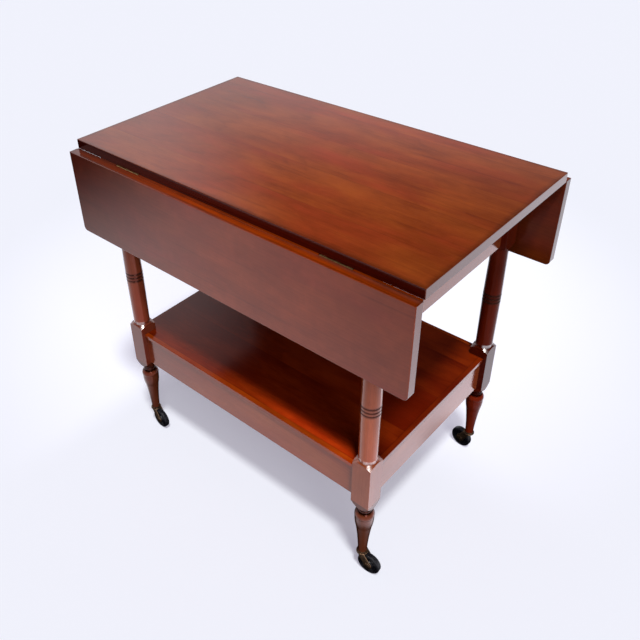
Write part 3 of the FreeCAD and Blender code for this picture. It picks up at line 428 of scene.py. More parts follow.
        # Painted shade near the board's border.
        if self.shaded_rim:
            tone = graph.times(tone, self.painted_shade_at_rim(graph, place))
        # Painted light on the strip along the front, growing towards the right.
        if self.painted_lit_strip:
            pale = graph.times(graph.span(place[1], *self.painted_lit_strip_deep, self.painted_lit_strip, 0.0),
                               graph.span(place[0], *self.painted_lit_strip_long))
            tone = graph.times(tone, graph.plus(pale, 1.0))
        for low, high, share in self.tones:
            half = (high - low) / 2
            off = graph.size(graph.minus(place[2], (low + high) / 2))
            start, end = half - self.tone_blur, half + self.tone_blur
            tone = graph.times(tone, graph.span(off, start, end, share, 1.0))
        return tone

    def coat(self, graph: Graph, place: Sequence[Socket], facing: Sequence[Socket]) -> Feed:
        """Where a thicker coat catches the light: on the corners of a bright band, if there is one.

        Args:
            graph: the material's tree.
            place: the three parts of the place.
            facing: the three parts of the surface's direction.

        Returns:
            The coat's weight.
        """
        if not self.bright_band:
            return 0.0
        low, high = self.bright_band
        band = graph.times(graph.span(place[2], low, low + self.band_blur),
                           graph.span(place[2], high, high + self.band_blur, 1.0, 0.0))
        corner = graph.times(graph.size(facing[0]), graph.size(facing[1]))
        return graph.times(band, graph.span(corner, *self.band_corner))

    def build(self) -> bpy.types.Material:
        """Make the material."""
        graph = Graph(self.name)
        colour, streak, fibre = self.wood(graph)
        place = graph.split(graph.place())
        facing = graph.facing()
        # The painted edge colour, light on the leaves and shade on the top, on faces that face one axis,
        # streaked along the grain.
        if self.edge:
            flat = graph.span(graph.size(facing[self.painted_edge_axis]), *self.painted_edge_facing)
            tint = graph.mix(graph.span(streak, 0.3, 0.7), shaded(self.edge, self.edge_shade), self.edge)
            colour = graph.mix(flat, colour, tint)
        end = graph.span(graph.size(facing[self.grain.value[0]]), *self.end_facing)
        speck = graph.noise(graph.place(), 1500, 2, 0.5)
        end_tint = graph.mix(speck, *(shaded(self.stain.dark, share) for share in self.end_shades))
        colour = graph.mix(graph.times(end, self.end_strength), colour, end_tint)
        for height in self.rings:
            off = graph.size(graph.minus(place[2], height))
            burnt = graph.span(off, *self.burn_soft, self.burn_strength, 0)
            colour = graph.mix(burnt, colour, self.burn_colour)
        # Multiply by the share left after painted light and shade and the tones.
        colour = graph.mix(1.0, colour, graph.grey(self.tone(graph, place)), "MULTIPLY")
        graph.rough(graph.plus(graph.times(fibre, 0.5), graph.times(streak, 0.5)), self.relief, 0.3)
        return graph.finish(Base_Color=colour, Roughness=self.haze, IOR=self.gloss, Specular_Tint=self.sheen,
                            Coat_Weight=self.coat(graph, place, facing), Coat_Roughness=0.24, Coat_IOR=2.1)


@dataclass(frozen=True)
class PlainWood:
    """Planed wood without stain or lacquer, for the pieces out of sight."""

    name: str
    grain: Grain
    streak: Layer = Layer((8.0, 260.0, 260.0), 4, 0.6)
    cloud: Layer = Layer((4.0, 40.0, 40.0), 2, 0.5)
    dark: Triple = (0.33, 0.18, 0.08)
    light: Triple = (0.55, 0.36, 0.19)

    def build(self) -> bpy.types.Material:
        """Make the material."""
        graph = Graph(self.name)
        place = graph.split(graph.place())
        where = graph.join(*(place[axis] for axis in self.grain.value))
        streak = self.streak.at(graph, where)
        body = graph.plus(graph.times(streak, 0.6), graph.times(self.cloud.at(graph, where), 0.4))
        graph.rough(streak, 0.0002, 0.4)
        return graph.finish(Base_Color=graph.mix(graph.span(body, 0.3, 0.7), self.dark, self.light),
                            Roughness=0.72)


@dataclass(frozen=True)
class Metal:
    """Metal with fine scratches and a tarnish that gathers in patches."""

    name: str
    clean: Triple
    tarnish: Triple
    roughness: float
    wear: float
    scratch: Layer = Layer((60.0, 900.0, 2200.0), 3, 0.6)

    def build(self) -> bpy.types.Material:
        """Make the material."""
        graph = Graph(self.name)
        where = graph.place()
        patch = graph.noise(where, 90, 5, 0.65)
        speck = graph.noise(where, 900, 3, 0.6)
        share = graph.plus(graph.times(patch, 0.7), graph.times(speck, 0.3))
        share = graph.span(share, 0.5 - self.wear / 3, 0.5 + self.wear / 3)
        scratch = self.scratch.at(graph, where)
        graph.rough(graph.plus(scratch, speck), 0.00004, 0.3)
        roughness = graph.span(graph.plus(share, graph.times(scratch, 0.4)), 0, 1.4,
                               self.roughness, self.roughness + 0.22, smooth=False)
        return graph.finish(Base_Color=graph.mix(share, self.clean, self.tarnish), Metallic=1.0,
                            Roughness=roughness)


@dataclass(frozen=True)
class Rubber:
    """Hard black rubber, scuffed on the tread."""

    name: str
    hub: Triple
    radius: float
    black: Triple = (0.0045, 0.004, 0.007)
    scuffed: Triple = (0.018, 0.017, 0.021)
    dusty: Triple = (0.012, 0.010, 0.012)

    def build(self) -> bpy.types.Material:
        """Make the material."""
        graph = Graph(self.name)
        where = graph.place()
        reach = graph.vector("LENGTH", graph.vector("SUBTRACT", where, self.hub))
        tread = graph.span(reach, self.radius * 0.93, self.radius)
        dust = graph.noise(where, 260, 5, 0.7)
        fine = graph.noise(where, 2600, 2, 0.6)
        scuff = graph.times(tread, graph.span(dust, 0.4, 0.7))
        colour = graph.mix(scuff, self.black, self.scuffed)
        colour = graph.mix(graph.times(graph.span(dust, 0.55, 0.8), 0.4), colour, self.dusty)
        graph.rough(graph.plus(fine, dust), 0.0001, 0.3)
        roughness = graph.span(graph.plus(scuff, graph.times(dust, 0.5)), 0, 1.2, 0.28, 0.62, smooth=False)
        return graph.finish(Base_Color=colour, Roughness=roughness, Specular_IOR_Level=0.22)


def wear_finish(names: Iterable[str], material: bpy.types.Material) -> None:
    """Give a finish to carried-over nodes.

    Args:
        names: the nodes.
        material: their finish.
    """
    for name in names:
        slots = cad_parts[name].data.materials
        slots.clear()
        slots.append(material)
        LOG.info("dressed %s in %s", name, material.name)


# ---------------------------------------------------------------- the bench


class Part(Enum):
    """What a selection is made of."""

    FACES = "FACE"
    EDGES = "EDGE"


class Bench:
    """A piece on the bench: it starts as a primitive and is shaped in edit mode."""

    def __init__(self, name: str, shape: str, turned: Sequence[float] = (0, 0, 0), **sizes: object) -> None:
        """Clear the bench and start a piece.

        Args:
            name: the piece's name.
            shape: the primitive that it starts from.
            turned: how the primitive is turned, in radians.
            sizes: its sizes and place.
        """
        bpy.ops.object.select_all(action="DESELECT")
        getattr(bpy.ops.mesh, f"primitive_{shape}_add")(rotation=turned, **sizes)
        self.piece = bpy.context.object
        self.piece.name = name
        bpy.ops.object.transform_apply(location=True, rotation=True, scale=True)
        bpy.ops.object.mode_set(mode="EDIT")
        bpy.ops.mesh.select_all(action="DESELECT")

    def pick(self, part: Part, test: Callable[[object], bool]) -> None:
        """Select the faces or edges that pass a test, and nothing else."""
        bpy.ops.mesh.select_all(action="DESELECT")
        bpy.ops.mesh.select_mode(type=part.value)
        form = bmesh.from_edit_mesh(self.piece.data)
        for element in form.faces if part is Part.FACES else form.edges:
            element.select_set(test(element))
        form.select_flush_mode()
        bmesh.update_edit_mesh(self.piece.data)

    def steps(self, insets: Iterable[tuple[float, float]]) -> None:
        """Inset the picked faces again and again, each time by a width and a rise in millimetres."""
        for wide, rise in insets:
            bpy.ops.mesh.inset(thickness=wide / 1000, depth=rise / 1000, use_even_offset=True)

    def close(self) -> bpy.types.Object:
        """Merge doubles, turn the normals outwards and leave edit mode.

        Returns:
            The finished piece.
        """
        bpy.ops.mesh.select_all(action="SELECT")
        bpy.ops.mesh.remove_doubles(threshold=0.000005)
        bpy.ops.mesh.normals_make_consistent(inside=False)
        bpy.ops.mesh.select_all(action="DESELECT")
        bpy.ops.object.mode_set(mode="OBJECT")
        return self.piece


def alone(piece: bpy.types.Object) -> None:
    """Make a piece the only one selected and the active one."""
    bpy.ops.object.select_all(action="DESELECT")
    piece.select_set(True)
    bpy.context.view_layer.objects.active = piece


def gathered(piece: bpy.types.Object, other: bpy.types.Object) -> bpy.types.Object:
    """Put two closed forms into one piece, each with its own skin and both in the piece's finish.

    Args:
        piece: the piece that keeps its name.
        other: the form that goes into it.

    Returns:
        The piece.
    """
    for finish in piece.data.materials:
        other.data.materials.append(finish)
    alone(piece)
    other.select_set(True)
    bpy.ops.object.join()
    return piece


def softened(piece: bpy.types.Object, width: float, angle: float) -> None:
    """Round a piece's arrises by a width in metres and smooth its curved faces."""
    alone(piece)
    if width:
        edge = piece.modifiers.new("arris", "BEVEL")
        edge.width = width
        edge.segments = 3
        edge.limit_method = "ANGLE"
        edge.angle_limit = math.radians(angle)
        bpy.ops.object.modifier_apply(modifier=edge.name)
    bpy.ops.object.shade_smooth_by_angle(angle=math.radians(angle))


# ---------------------------------------------------------------- the trolley


@dataclass
class Boards:
    """The top, the leaves and the shelf."""

    top_stave: float = 0.113
    shelf_stave: float = 0.12
    lip_inner: float = 0.2303
    lip_outer: float = 0.2345
    lip_top: float = 0.72395
    lip_foot: float = 0.7205
    lip_round: float = 0.0026
    lip_runs: tuple[tuple[float, float], ...] = ((-0.4050, -0.2835), (-0.2165, 0.2165), (0.2835, 0.4050))

    def dress(self) -> None:
        """Give the boards their cherry."""
        deep = Stain((0.36, 0.070, 0.010), (0.19, 0.028, 0.004), (0.34, 0.044, 0.010))
        shade = Stain((0.34, 0.060, 0.008), (0.18, 0.024, 0.003), (0.32, 0.038, 0.008))
        face = Stain((0.56, 0.112, 0.046), (0.34, 0.060, 0.028), (0.54, 0.084, 0.048))
        # The shelf's stain is darkened as painted shade under the top; lit is a lighter copy, as painted
        # light, for the shelf's long strips.
        shaded_shelf = Stain((0.25, 0.026, 0.002), (0.105, 0.006, 0.0006), (0.15, 0.010, 0.001))
        lit = Stain((0.34, 0.050, 0.003), (0.17, 0.016, 0.001), (0.29, 0.030, 0.002))
        # Painted light on the edges of the leaves that face up and down.
        painted_lit_edge = (0.39, 0.046, 0.001)
        boards = [Cherry("top_board", Grain.LENGTHWISE, deep, plank=self.top_stave, seed=0.31, shaded_rim=0.012,
                         # painted shade on the top's front and back edge faces
                         edge=(0.13, 0.008, 0.002), painted_edge_axis=1),
                  Cherry("front_leaf", Grain.LENGTHWISE, face, seed=2.7, shaded_rim=0.010, edge=painted_lit_edge,
                         # more painted shade at the left end of the front leaf
                         left_painted_shade=0.38),
                  Cherry("back_leaf", Grain.LENGTHWISE, shade, seed=5.1, shaded_rim=0.010, edge=painted_lit_edge, gloss=1.32),
                  Cherry("shelf_board", Grain.LENGTHWISE, shaded_shelf, plank=self.shelf_stave, seed=0.77, shaded_rim=0.0022,
                         # painted light on the strip along the shelf's front
                         painted_lit_strip=1.8),
                  # painted light at the right end of the shelf's long strips
                  Cherry("shelf_long_strips", Grain.LENGTHWISE, lit, seed=3.3, right_painted_lighting=2.3),
                  Cherry("shelf_end_strips", Grain.CROSSWISE, shaded_shelf, seed=4.4)]
        for board in boards:
            wear_finish([board.name], board.build())
        for side, name in ((-1, "front"), (1, "back")):
            self.lipped(name + "_leaf", side, name + "_drop_leaf")

    def lipped(self, node: str, side: int, body: str) -> None:
        """Model a leaf with the small lip along its hinged edge, cut away at the hinges.

        Args:
            node: the leaf.
            side: -1 for the front, 1 for the back.
            body: the body that it rides on.
        """
        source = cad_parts[node]
        leaf = source.copy()
        leaf.data = source.data.copy()
        leaf.name = leaf.data.name = node + "_piece"
        leaf.parent = None
        leaf.matrix_world = Matrix.Identity(4)
        bpy.context.scene.collection.objects.link(leaf)
        alone(leaf)
        bpy.ops.object.mode_set(mode="EDIT")
        bpy.ops.mesh.select_all(action="SELECT")
        bpy.ops.mesh.remove_doubles(threshold=0.000002)
        bpy.ops.object.mode_set(mode="OBJECT")
        for start, end in self.lip_runs:
            bench = Bench("leaf_lip", "cube", size=1,
                          scale=(end - start, self.lip_outer - self.lip_inner, self.lip_top - self.lip_foot),
                          location=((start + end) / 2, side * (self.lip_outer + self.lip_inner) / 2,
                                    (self.lip_top + self.lip_foot) / 2))
            bench.pick(Part.EDGES, lambda edge: all(end.co.z < self.lip_foot + NEAR
                                                    and abs(end.co.y) < self.lip_inner + NEAR
                                                    for end in edge.verts))
            bpy.ops.mesh.bevel(offset=self.lip_round, segments=3, affect="EDGES")
            gathered(leaf, bench.close())
        softened(leaf, 0, 30)
        even = leaf.modifiers.new("even", "WEIGHTED_NORMAL")
        even.keep_sharp = True
        bpy.ops.object.modifier_apply(modifier=even.name)
        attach(leaf, body)
        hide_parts(node)
        LOG.info("modelled %s, %d faces, on %s", leaf.name, len(leaf.data.polygons), body)


@dataclass
class Frame:
    """The legs, the aprons, the shelf rails and the blocks.

    The pommel is the shoulder above a leg's lower block, whose corners shine.
    """

    ring_height: float = 0.446
    ring_pitch: float = 0.0082
    # Heights of the foot, where each leg's foot share paints shade.
    foot: Range = (0.0, 0.2085)
    neck_tone: Triple = (0.1755, 0.1885, 0.30)
    block_tone: Triple = (0.1885, 0.3105, 0.66)
    pommel: Range = (0.3105, 0.326)
    pommel_tone: Triple = (0.3115, 0.3250, 0.60)
    ring_tone: Triple = (0.4335, 0.4585, 0.70)

    def dress(self) -> None:
        """Give the frame its finishes."""
        rings = tuple(self.ring_height + step * self.ring_pitch for step in (-1, 0, 1))
        common = Cherry.stain
        rosy = Stain((0.46, 0.106, 0.046), (0.29, 0.058, 0.026), (0.40, 0.070, 0.038))
        # The front right leg's pale stain is a lit copy, as painted light, and the back right leg's deep
        # stain a shaded copy, as painted shade, with less gloss.
        pale = Stain((0.64, 0.155, 0.058), (0.41, 0.086, 0.026), (0.56, 0.100, 0.041))
        deep = Stain((0.17, 0.018, 0.004), (0.09, 0.008, 0.002), (0.15, 0.012, 0.003))
        # A foot share below 1 paints shade on the lower leg; on the back right leg, above 1, it takes back
        # part of that leg's painted shade.
        legs = (("front_left", rosy, 0.42, Cherry.gloss), ("front_right", pale, 0.27, Cherry.gloss),
                ("back_left", common, 0.42, Cherry.gloss), ("back_right", deep, 1.5, 1.16))
        for number, (corner, stain, foot_lighting_share, gloss) in enumerate(legs):
            tones = ((*self.foot, foot_lighting_share), self.neck_tone, self.block_tone, self.pommel_tone,
                     self.ring_tone)
            leg = Cherry(corner + "_leg_cherry", Grain.UPRIGHT, stain, seed=1.7 * number + 0.4, rings=rings,
                         tones=tones, bright_band=self.pommel, gloss=gloss)
            wear_finish([corner + "_leg"], leg.build())
        wear_finish(["front_apron", "back_apron", "front_shelf_rail", "back_shelf_rail"],
                    Cherry("long_rail_cherry", Grain.LENGTHWISE, seed=6.6).build())
        wear_finish(["left_apron", "right_apron", "left_shelf_rail", "right_shelf_rail"],
                    Cherry("end_rail_cherry", Grain.CROSSWISE, seed=7.7).build())
        wear_finish(["corner_blocks", "shelf_blocks"], PlainWood("block_wood", Grain.LENGTHWISE).build())


@dataclass
class Fittings:
    """The hinges, the stays and the screws."""

    def dress(self) -> None:
        """Give the metalwork its finishes."""
        brass = Metal("hinge_brass", (0.50, 0.32, 0.13), (0.10, 0.055, 0.025), 0.32, 0.8).build()
        zinc = Metal("screw_zinc", (0.55, 0.54, 0.51), (0.24, 0.22, 0.19), 0.35, 0.5).build()
        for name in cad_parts:
            if name in ("top_screws", "shelf_screws"):
                wear_finish([name], zinc)
            elif name.endswith(("_plate", "_screws", "_stay", "_bracket", "_pin", "_pins", "_catch")):
                wear_finish([name], brass)


@dataclass
class Casters:
    """The four swivel casters. They are modelled once, trailing towards +X, and copied to the legs."""

    leg_place: Range = (0.3145, 0.2095)
    trail: float = 0.0175
    wheel_radius: float = 0.0245
    rim_wide: float = 0.0118
    tread_round: float = 0.003
    axle_radius: float = 0.003
    fork_inner: float = 0.0073
    fork_outer: float = 0.0091
    arm_radius: float = 0.0092
    arm_long: float = 0.05
    arm_round: float = 0.0013
    arm_top: float = 0.0524
    arm_top_share: float = 0.8
    boss_radius: float = 0.0064
    boss_sunk: float = 0.0004
    boss_steps: tuple[Range, ...] = ((0, 0.3), (0.5, 0.25))
    crown_radius: float = 0.012
    crown_under: float = 0.0501
    crown_top: float = 0.0526
    crown_round: float = 0.0008
    fork_arris: float = 0.0003
    crown_steps: tuple[Range, ...] = ((0.6, -0.35), (0.5, -0.1), (0.6, 0.45))
    side_rings: tuple[Range, ...] = (
        (3.5, 0), (0.35, -0.45), (0.45, 0), (0.35, 0.45), (0.55, 0), (0.25, -1.1), (0.35, -0.8), (0.55, -0.3),
        (1.3, 0), (0.45, 0.6), (0.45, 0), (0.45, -0.6), (0.8, 0), (0.55, 0.9), (0.5, 0), (0.55, -0.9),
        (1.2, 0), (1.1, 0.35), (0.45, 1.45), (0.35, 0.75), (0.4, 0.25), (1.8, 0), (0.35, -0.35), (1.3, 0))
    head_steps: tuple[Range, ...] = (
        (1.5, 0.0), (1.0, 0.25), (0.97, 0.25), (0.90, 0.25), (0.80, 0.25), (0.62, 0.2), (0.35, 0.1))
    turns: tuple[tuple[str, float], ...] = (
        ("front_left", -4), ("front_right", 5), ("back_left", 14), ("back_right", 173))

    @property
    def hub(self) -> Triple:
        """The middle of the wheel."""
        return self.trail, 0, self.wheel_radius

    def round_axle(self, spot: Vector) -> float:
        """How far a spot is from the wheel's axis."""
        return math.hypot(spot.x - self.trail, spot.z - self.wheel_radius)

    def wheel(self) -> bpy.types.Object:
        """Model the wheel: a rounded tread, a dished web with moulded rings and a bored hub.

        Returns:
            The wheel.
        """
        bench = Bench("caster_wheel", "cylinder", (math.pi / 2, 0, 0), vertices=96, radius=self.wheel_radius,
                      depth=self.rim_wide, location=self.hub)
        bench.pick(Part.FACES, lambda face: abs(face.normal.y) > FACING)
        bench.steps(self.side_rings)
        bpy.ops.mesh.delete(type="ONLY_FACE")
        bench.pick(Part.EDGES, lambda edge: edge.is_boundary)
        bpy.ops.mesh.bridge_edge_loops()
        bench.pick(Part.EDGES, lambda edge: all(self.round_axle(end.co) > self.wheel_radius - NEAR
                                                for end in edge.verts)
                   and abs(edge.verts[0].co.y - edge.verts[1].co.y) < NEAR)
        bpy.ops.mesh.bevel(offset=self.tread_round, segments=6, profile=0.5, affect="EDGES")
        wheel = bench.close()
        softened(wheel, 0, 32)
        return wheel

    def fork_arm(self) -> bpy.types.Object:
        """Model one arm of the fork: a leaning plate with a pressed boss round the axle.

        Returns:
            The arm on the +Y side.
        """
        lean = Vector((-self.trail, 0, self.crown_top - self.wheel_radius)).normalized()
        middle = (self.fork_inner + self.fork_outer) / 2
        thick = self.fork_outer - self.fork_inner
        bench = Bench("caster_fork", "cylinder", (math.pi / 2, 0, 0), vertices=64, radius=self.arm_radius,
                      depth=thick, location=(self.trail, middle, self.wheel_radius))
        bench.pick(Part.FACES, lambda face: face.normal.dot(lean) > 0.02)
        bpy.ops.mesh.extrude_region_move(TRANSFORM_OT_translate={"value": lean * self.arm_long})
        bpy.ops.mesh.select_all(action="SELECT")
        bpy.ops.mesh.bisect(plane_co=(0, 0, self.arm_top), plane_no=(0, 0, 1), use_fill=True,
                            clear_outer=True)
        bpy.ops.mesh.select_all(action="SELECT")
        bpy.ops.mesh.dissolve_limited(angle_limit=math.radians(1))
        bench.pick(Part.FACES, lambda face: face.normal.z > FACING)
        bpy.ops.transform.resize(value=(self.arm_top_share, 1, 1), center_override=(0, 0, self.arm_top))
        bench.pick(Part.EDGES, lambda edge: all(end.co.y > self.fork_outer - NEAR for end in edge.verts))
        bpy.ops.mesh.bevel(offset=self.arm_round, segments=4, affect="EDGES")
        arm = bench.close()
        bench = Bench("fork_boss", "cylinder", (math.pi / 2, 0, 0), vertices=48, radius=self.boss_radius,
                      depth=thick - self.boss_sunk,
                      location=(self.trail, middle + self.boss_sunk / 2, self.wheel_radius))
        bench.pick(Part.FACES, lambda face: face.normal.y > FACING)
        bench.steps(self.boss_steps)
        return gathered(arm, bench.close())

    def fork(self) -> bpy.types.Object:
        """Model the stamped fork: two leaning arms with pressed bosses under a round crown.

        Returns:
            The fork.
        """
        arms = self.fork_arm()
        bpy.ops.object.mode_set(mode="EDIT")
        bpy.ops.mesh.select_all(action="SELECT")
        bpy.ops.mesh.duplicate()
        bpy.ops.transform.resize(value=(1, -1, 1), center_override=(0, 0, 0))
        bpy.ops.mesh.select_all(action="SELECT")
        bpy.ops.mesh.normals_make_consistent(inside=False)
        bpy.ops.object.mode_set(mode="OBJECT")
        bench = Bench("fork_crown", "cylinder", vertices=72, radius=self.crown_radius,
                      depth=self.crown_top - self.crown_under,
                      location=(0, 0, (self.crown_top + self.crown_under) / 2))
        bench.pick(Part.EDGES, lambda edge: all(end.co.z > self.crown_top - NEAR for end in edge.verts))
        bpy.ops.mesh.bevel(offset=self.crown_round, segments=3, affect="EDGES")
        bench.pick(Part.FACES, lambda face: face.normal.z > FACING)
        bench.steps(self.crown_steps)
        fork = gathered(arms, bench.close())
        softened(fork, self.fork_arris, 40)
        return fork

    def axle(self) -> bpy.types.Object:
        """Model the axle: a shank with a domed rivet head at each end.

        Returns:
            The axle.
        """
        bench = Bench("caster_axle", "cylinder", (math.pi / 2, 0, 0), vertices=40, radius=self.axle_radius,
                      depth=2 * self.fork_outer, location=self.hub)
        bench.pick(Part.FACES, lambda face: abs(face.normal.y) > FACING)
        for spread, rise in self.head_steps:
            bpy.ops.mesh.extrude_region_shrink_fatten(TRANSFORM_OT_shrink_fatten={"value": -rise / 1000})
            bpy.ops.transform.resize(value=(spread, 1, spread), center_override=self.hub)
        bpy.ops.mesh.poke()
        axle = bench.close()
        softened(axle, 0, 30)
        return axle

    def copied(self, pattern: bpy.types.Object, corner: str, turn: float, node: str, body: str,
               finish: bpy.types.Material) -> None:
        """Copy a modelled piece to a leg, with a mesh of its own, and dress it.

        Args:
            pattern: the piece, trailing towards +X under the origin.
            corner: the leg.
            turn: how far the caster is turned, in degrees.
            node: the node that the copy stands for.
            body: the body that it rides on.
            finish: its finish.
        """
        side = (1 if "right" in corner else -1, 1 if "back" in corner else -1)
        piece = pattern.copy()
        piece.data = pattern.data.copy()
        piece.name = piece.data.name = node + "_piece"
        bpy.context.scene.collection.objects.link(piece)
        piece.rotation_euler = (0, 0, math.radians(turn))
        piece.location = (side[0] * self.leg_place[0], side[1] * self.leg_place[1], 0)
        alone(piece)
        bpy.ops.object.transform_apply(location=True, rotation=True, scale=True)
        piece.data.materials.clear()
        piece.data.materials.append(finish)
        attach(piece, body)
        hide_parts(node)
        LOG.info("modelled %s, %d faces, on %s", piece.name, len(piece.data.polygons), body)

    def build(self) -> None:
        """Model the casters and set one under each leg."""
        patterns = (self.wheel(), self.fork(), self.axle())
        bronze = Metal("fork_bronze", (0.27, 0.165, 0.095), (0.05, 0.030, 0.024), 0.30, 0.7).build()
        steel = Metal("bright_steel", (0.72, 0.71, 0.68), (0.35, 0.33, 0.3), 0.2, 0.3).build()
        for corner, turn in self.turns:
            low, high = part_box(corner + "_wheel")
            rubber = Rubber(corner + "_rubber", tuple((low + high) / 2), self.wheel_radius).build()
            pieces = (("_wheel", "_caster_wheel", rubber, "wheel_rubber"),
                      ("_caster_fork", "_caster", bronze, "fork_brass"),
                      ("_caster_axle", "_caster", bronze, "fork_brass"))
            for pattern, (node, body, finish, slot) in zip(patterns, pieces):
                self.copied(pattern, corner, turn, corner + node, corner + body, finish)
            wear_finish([corner + "_caster_stem"], steel)
        wear_finish(["caster_sockets"], bronze)
        for pattern in patterns:
            bpy.data.objects.remove(pattern, do_unlink=True)


# ---------------------------------------------------------------- the studio


@dataclass(frozen=True)
class Lamp:
    """A far, soft light: the direction that it hangs in, and how wide it looks in degrees."""

    name: str
    toward: Triple
    strength: float
    wide: float
    colour: Triple = (1.0, 0.985, 0.96)

    def hang(self) -> None:
        """Hang the lamp."""
        data = bpy.data.lights.new(self.name, "SUN")
        data.energy = self.strength
        data.angle = math.radians(self.wide)
        data.color = self.colour
        holder = bpy.data.objects.new(self.name, data)
        bpy.context.scene.collection.objects.link(holder)
        holder.rotation_euler = Vector(self.toward).to_track_quat("Z", "Y").to_euler()


@dataclass
class Floor:
    """The floor. It keeps the shadow, looks nearly white elsewhere and is mirrored in the lacquer.

    A pair is a place, or where a change starts and ends, in metres. What the lacquer mirrors is darker
    under the trolley and at its feet, as painted shadow, darker far to the left, and brighter to the
    right. Painted light brightens the floor behind the trolley and to its left.
    """

    size: float = 30.0
    paper: Triple = (0.55, 0.585, 0.62)
    bounce: Triple = (0.28, 0.28, 0.28)
    lift: Triple = (0.325, 0.310, 0.375)
    mirror_tint: Triple = (0.92, 0.97, 1.15)
    mirror_paper: float = 0.9
    mirror_glow: float = 0.60
    mirror_gain: float = 2.3
    mirror_loss: float = 0.72
    # Painted shadow in what the lacquer mirrors, under the trolley and round its feet.
    under_long: Range = (0.335, 0.41)
    under_deep: Range = (0.225, 0.315)
    left_fade: Range = (-1.75, -0.85)
    right_rise: Range = (0.34, 0.40)
    right_fall: Range = (0.55, 0.95)
    foot: Range = (0.3145, 0.2095)
    foot_fade: Range = (0.06, 0.14)
    foot_shadow_share: float = 0.16
    halo_place: Range = (-0.40, 0.50)
    halo_fade: Range = (0.50, 1.15)
    halo_gain: float = 0.5
    halo_behind: Range = (0.05, 0.25)
    halo_beside: Range = (-0.50, -0.38)

    def mirrored_share(self, graph: Graph, place: Sequence[Socket]) -> Socket:
        """How much of the floor the lacquer mirrors: painted shadow lowers it under the trolley and at its
        feet, and it fades far left.
        """
        wide = graph.span(graph.size(place[0]), *self.under_long, 0.0, 1.0)
        deep = graph.span(graph.size(place[1]), *self.under_deep, 0.0, 1.0)
        off = graph.join(graph.minus(graph.size(place[0]), self.foot[0]),
                         graph.minus(graph.size(place[1]), self.foot[1]), 0.0)
        feet = graph.span(graph.vector("LENGTH", off), *self.foot_fade, self.foot_shadow_share, 1.0)
        # Painted shadow under the trolley and round its feet.
        clear = graph.times(graph.number("MAXIMUM", wide, deep), feet)
        return graph.times(clear, graph.span(place[0], *self.left_fade, 0.0, 1.0))

    def halo(self, graph: Graph, place: Sequence[Socket]) -> Socket:
        """How much painted light brightens the floor behind the trolley and to its left, over the trolley's
        shadow there.
        """
        off = graph.join(graph.minus(place[0], self.halo_place[0]),
                         graph.minus(place[1], self.halo_place[1]), 0.0)
        near = graph.span(graph.vector("LENGTH", off), *self.halo_fade, self.halo_gain, 0.0)
        return graph.times(near, graph.number("MAXIMUM", graph.span(place[1], *self.halo_behind),
                                              graph.span(place[0], *self.halo_beside, 1.0, 0.0)))

    def lay(self) -> None:
        """Lay the floor."""
        bpy.ops.mesh.primitive_plane_add(size=self.size, location=(0, 0, 0))
        plane = bpy.context.object
        plane.name = "studio_floor"
        graph = Graph("floor_paper")
        place = graph.split(graph.place())
        ray = graph.node("LightPath", {}).outputs
        seen, mirrored = ray["Is Camera Ray"], ray["Is Glossy Ray"]
        share = self.mirrored_share(graph, place)
        right = graph.times(graph.span(place[0], *self.right_rise, self.mirror_glow,
                                       self.mirror_glow * self.mirror_gain),
                            graph.span(place[0], *self.right_fall, 1.0, self.mirror_loss))
        colour = graph.mix(mirrored, graph.mix(seen, self.bounce, self.paper),
                           graph.grey(graph.times(share, self.mirror_paper)))
        # The floor the camera sees gets the painted light of the halo.
        strength = graph.plus(graph.times(seen, graph.plus(self.halo(graph, place), 1.0)),
                              graph.times(mirrored, graph.times(share, right)))
        plane.data.materials.append(graph.finish(
            Base_Color=colour, Roughness=0.9, Specular_IOR_Level=0.0,
            Emission_Color=graph.mix(mirrored, self.lift, self.mirror_tint), Emission_Strength=strength))


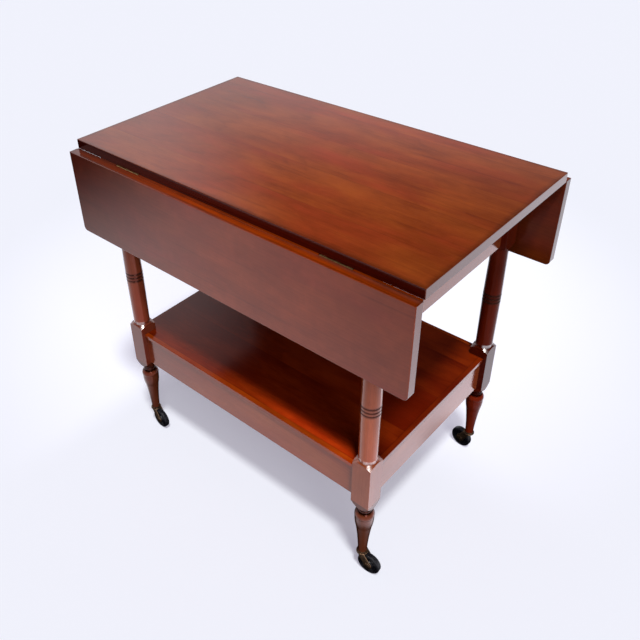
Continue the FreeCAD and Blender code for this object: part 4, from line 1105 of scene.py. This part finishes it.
@dataclass
class Sky:
    """Dim light from above, with white walls near the horizon and at the left for what is mirrored.

    A pair is where a change starts and ends, as a part of a direction's height or of its way along X.
    """

    tint: Triple = (0.94, 0.95, 1.0)
    ambient: float = 0.12
    wall: Range = (0.34, 0.46)
    wall_glow: float = 1.15
    above_glow: float = 0.03
    left_wall: Range = (-0.66, -0.80)
    left_glow: float = 1.3
    left_top: Range = (0.60, 0.75)

    def spread(self) -> None:
        """Make the world."""
        world = bpy.data.worlds.new("soft_surround")
        bpy.context.scene.world = world
        world.use_nodes = True
        tree = Tree(world.node_tree)
        way = tree.split(tree.node("TexCoord", {}).outputs["Generated"])
        wall = tree.span(way[2], *self.wall, self.wall_glow, self.above_glow)
        level = tree.number("POWER", tree.minus(1.0, tree.times(way[2], way[2])), -0.5)
        left = tree.times(tree.span(tree.times(way[0], level), *self.left_wall, 0.0, self.left_glow),
                          tree.span(way[2], *self.left_top, 1.0, 0.0, smooth=False))
        ray = tree.node("LightPath", {}).outputs
        mirrored = tree.times(ray["Is Glossy Ray"], tree.number("MAXIMUM", wall, left))
        other = tree.number("MULTIPLY_ADD", ray["Is Glossy Ray"], -self.ambient, self.ambient)
        strength = tree.number("MAXIMUM", ray["Is Camera Ray"], tree.plus(mirrored, other))
        back = tree.node("Background", {0: solid(self.tint), 1: strength})
        tree.node("OutputWorld", {0: back.outputs[0]})


@dataclass
class Camera:
    """The camera: its place in metres, and its turn, drop and roll in degrees."""

    place: Triple = (0.820, -0.979, 1.340)
    turn: float = 42.66
    drop: float = 34.48
    roll: float = -1.8
    lens: float = 41.61
    shift: Range = (0.0644, -0.0655)

    def aim(self) -> None:
        """Set the camera up."""
        data = bpy.data.cameras.new("camera")
        data.sensor_width = 36
        data.lens = self.lens
        data.shift_x, data.shift_y = self.shift
        data.clip_end = 60
        turn, drop, roll = (math.radians(angle) for angle in (self.turn, self.drop, self.roll))
        ahead = Vector((-math.sin(turn) * math.cos(drop), math.cos(turn) * math.cos(drop), -math.sin(drop)))
        right = ahead.cross(Vector((0, 0, 1))).normalized()
        up = right.cross(ahead)
        side = math.cos(roll) * right + math.sin(roll) * up
        top = -math.sin(roll) * right + math.cos(roll) * up
        holder = bpy.data.objects.new("camera", data)
        bpy.context.scene.collection.objects.link(holder)
        turned = Matrix((side, top, -ahead)).transposed().to_4x4()
        holder.matrix_world = Matrix.Translation(self.place) @ turned
        bpy.context.scene.camera = holder


@dataclass
class Studio:
    """The pale floor, the soft lamps and the camera."""

    lamps: tuple[Lamp, ...] = (Lamp("key_light", (0.28, -0.235, 0.93), 2.4, 7),
                               Lamp("fill_light", (0.65, -0.42, 0.61), 0.9, 26))

    def build(self) -> None:
        """Set up the whole studio."""
        bpy.context.scene.view_settings.view_transform = "Standard"
        Floor().lay()
        Sky().spread()
        for lamp in self.lamps:
            lamp.hang()
        Camera().aim()
        LOG.info("studio ready")


def main() -> None:
    """Dress the trolley and set the studio round it."""
    logging.basicConfig(level=logging.INFO, format="%(message)s")
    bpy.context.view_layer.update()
    Boards().dress()
    Frame().dress()
    Fittings().dress()
    Casters().build()
    Studio().build()


if __name__ == "__main__":
    main()
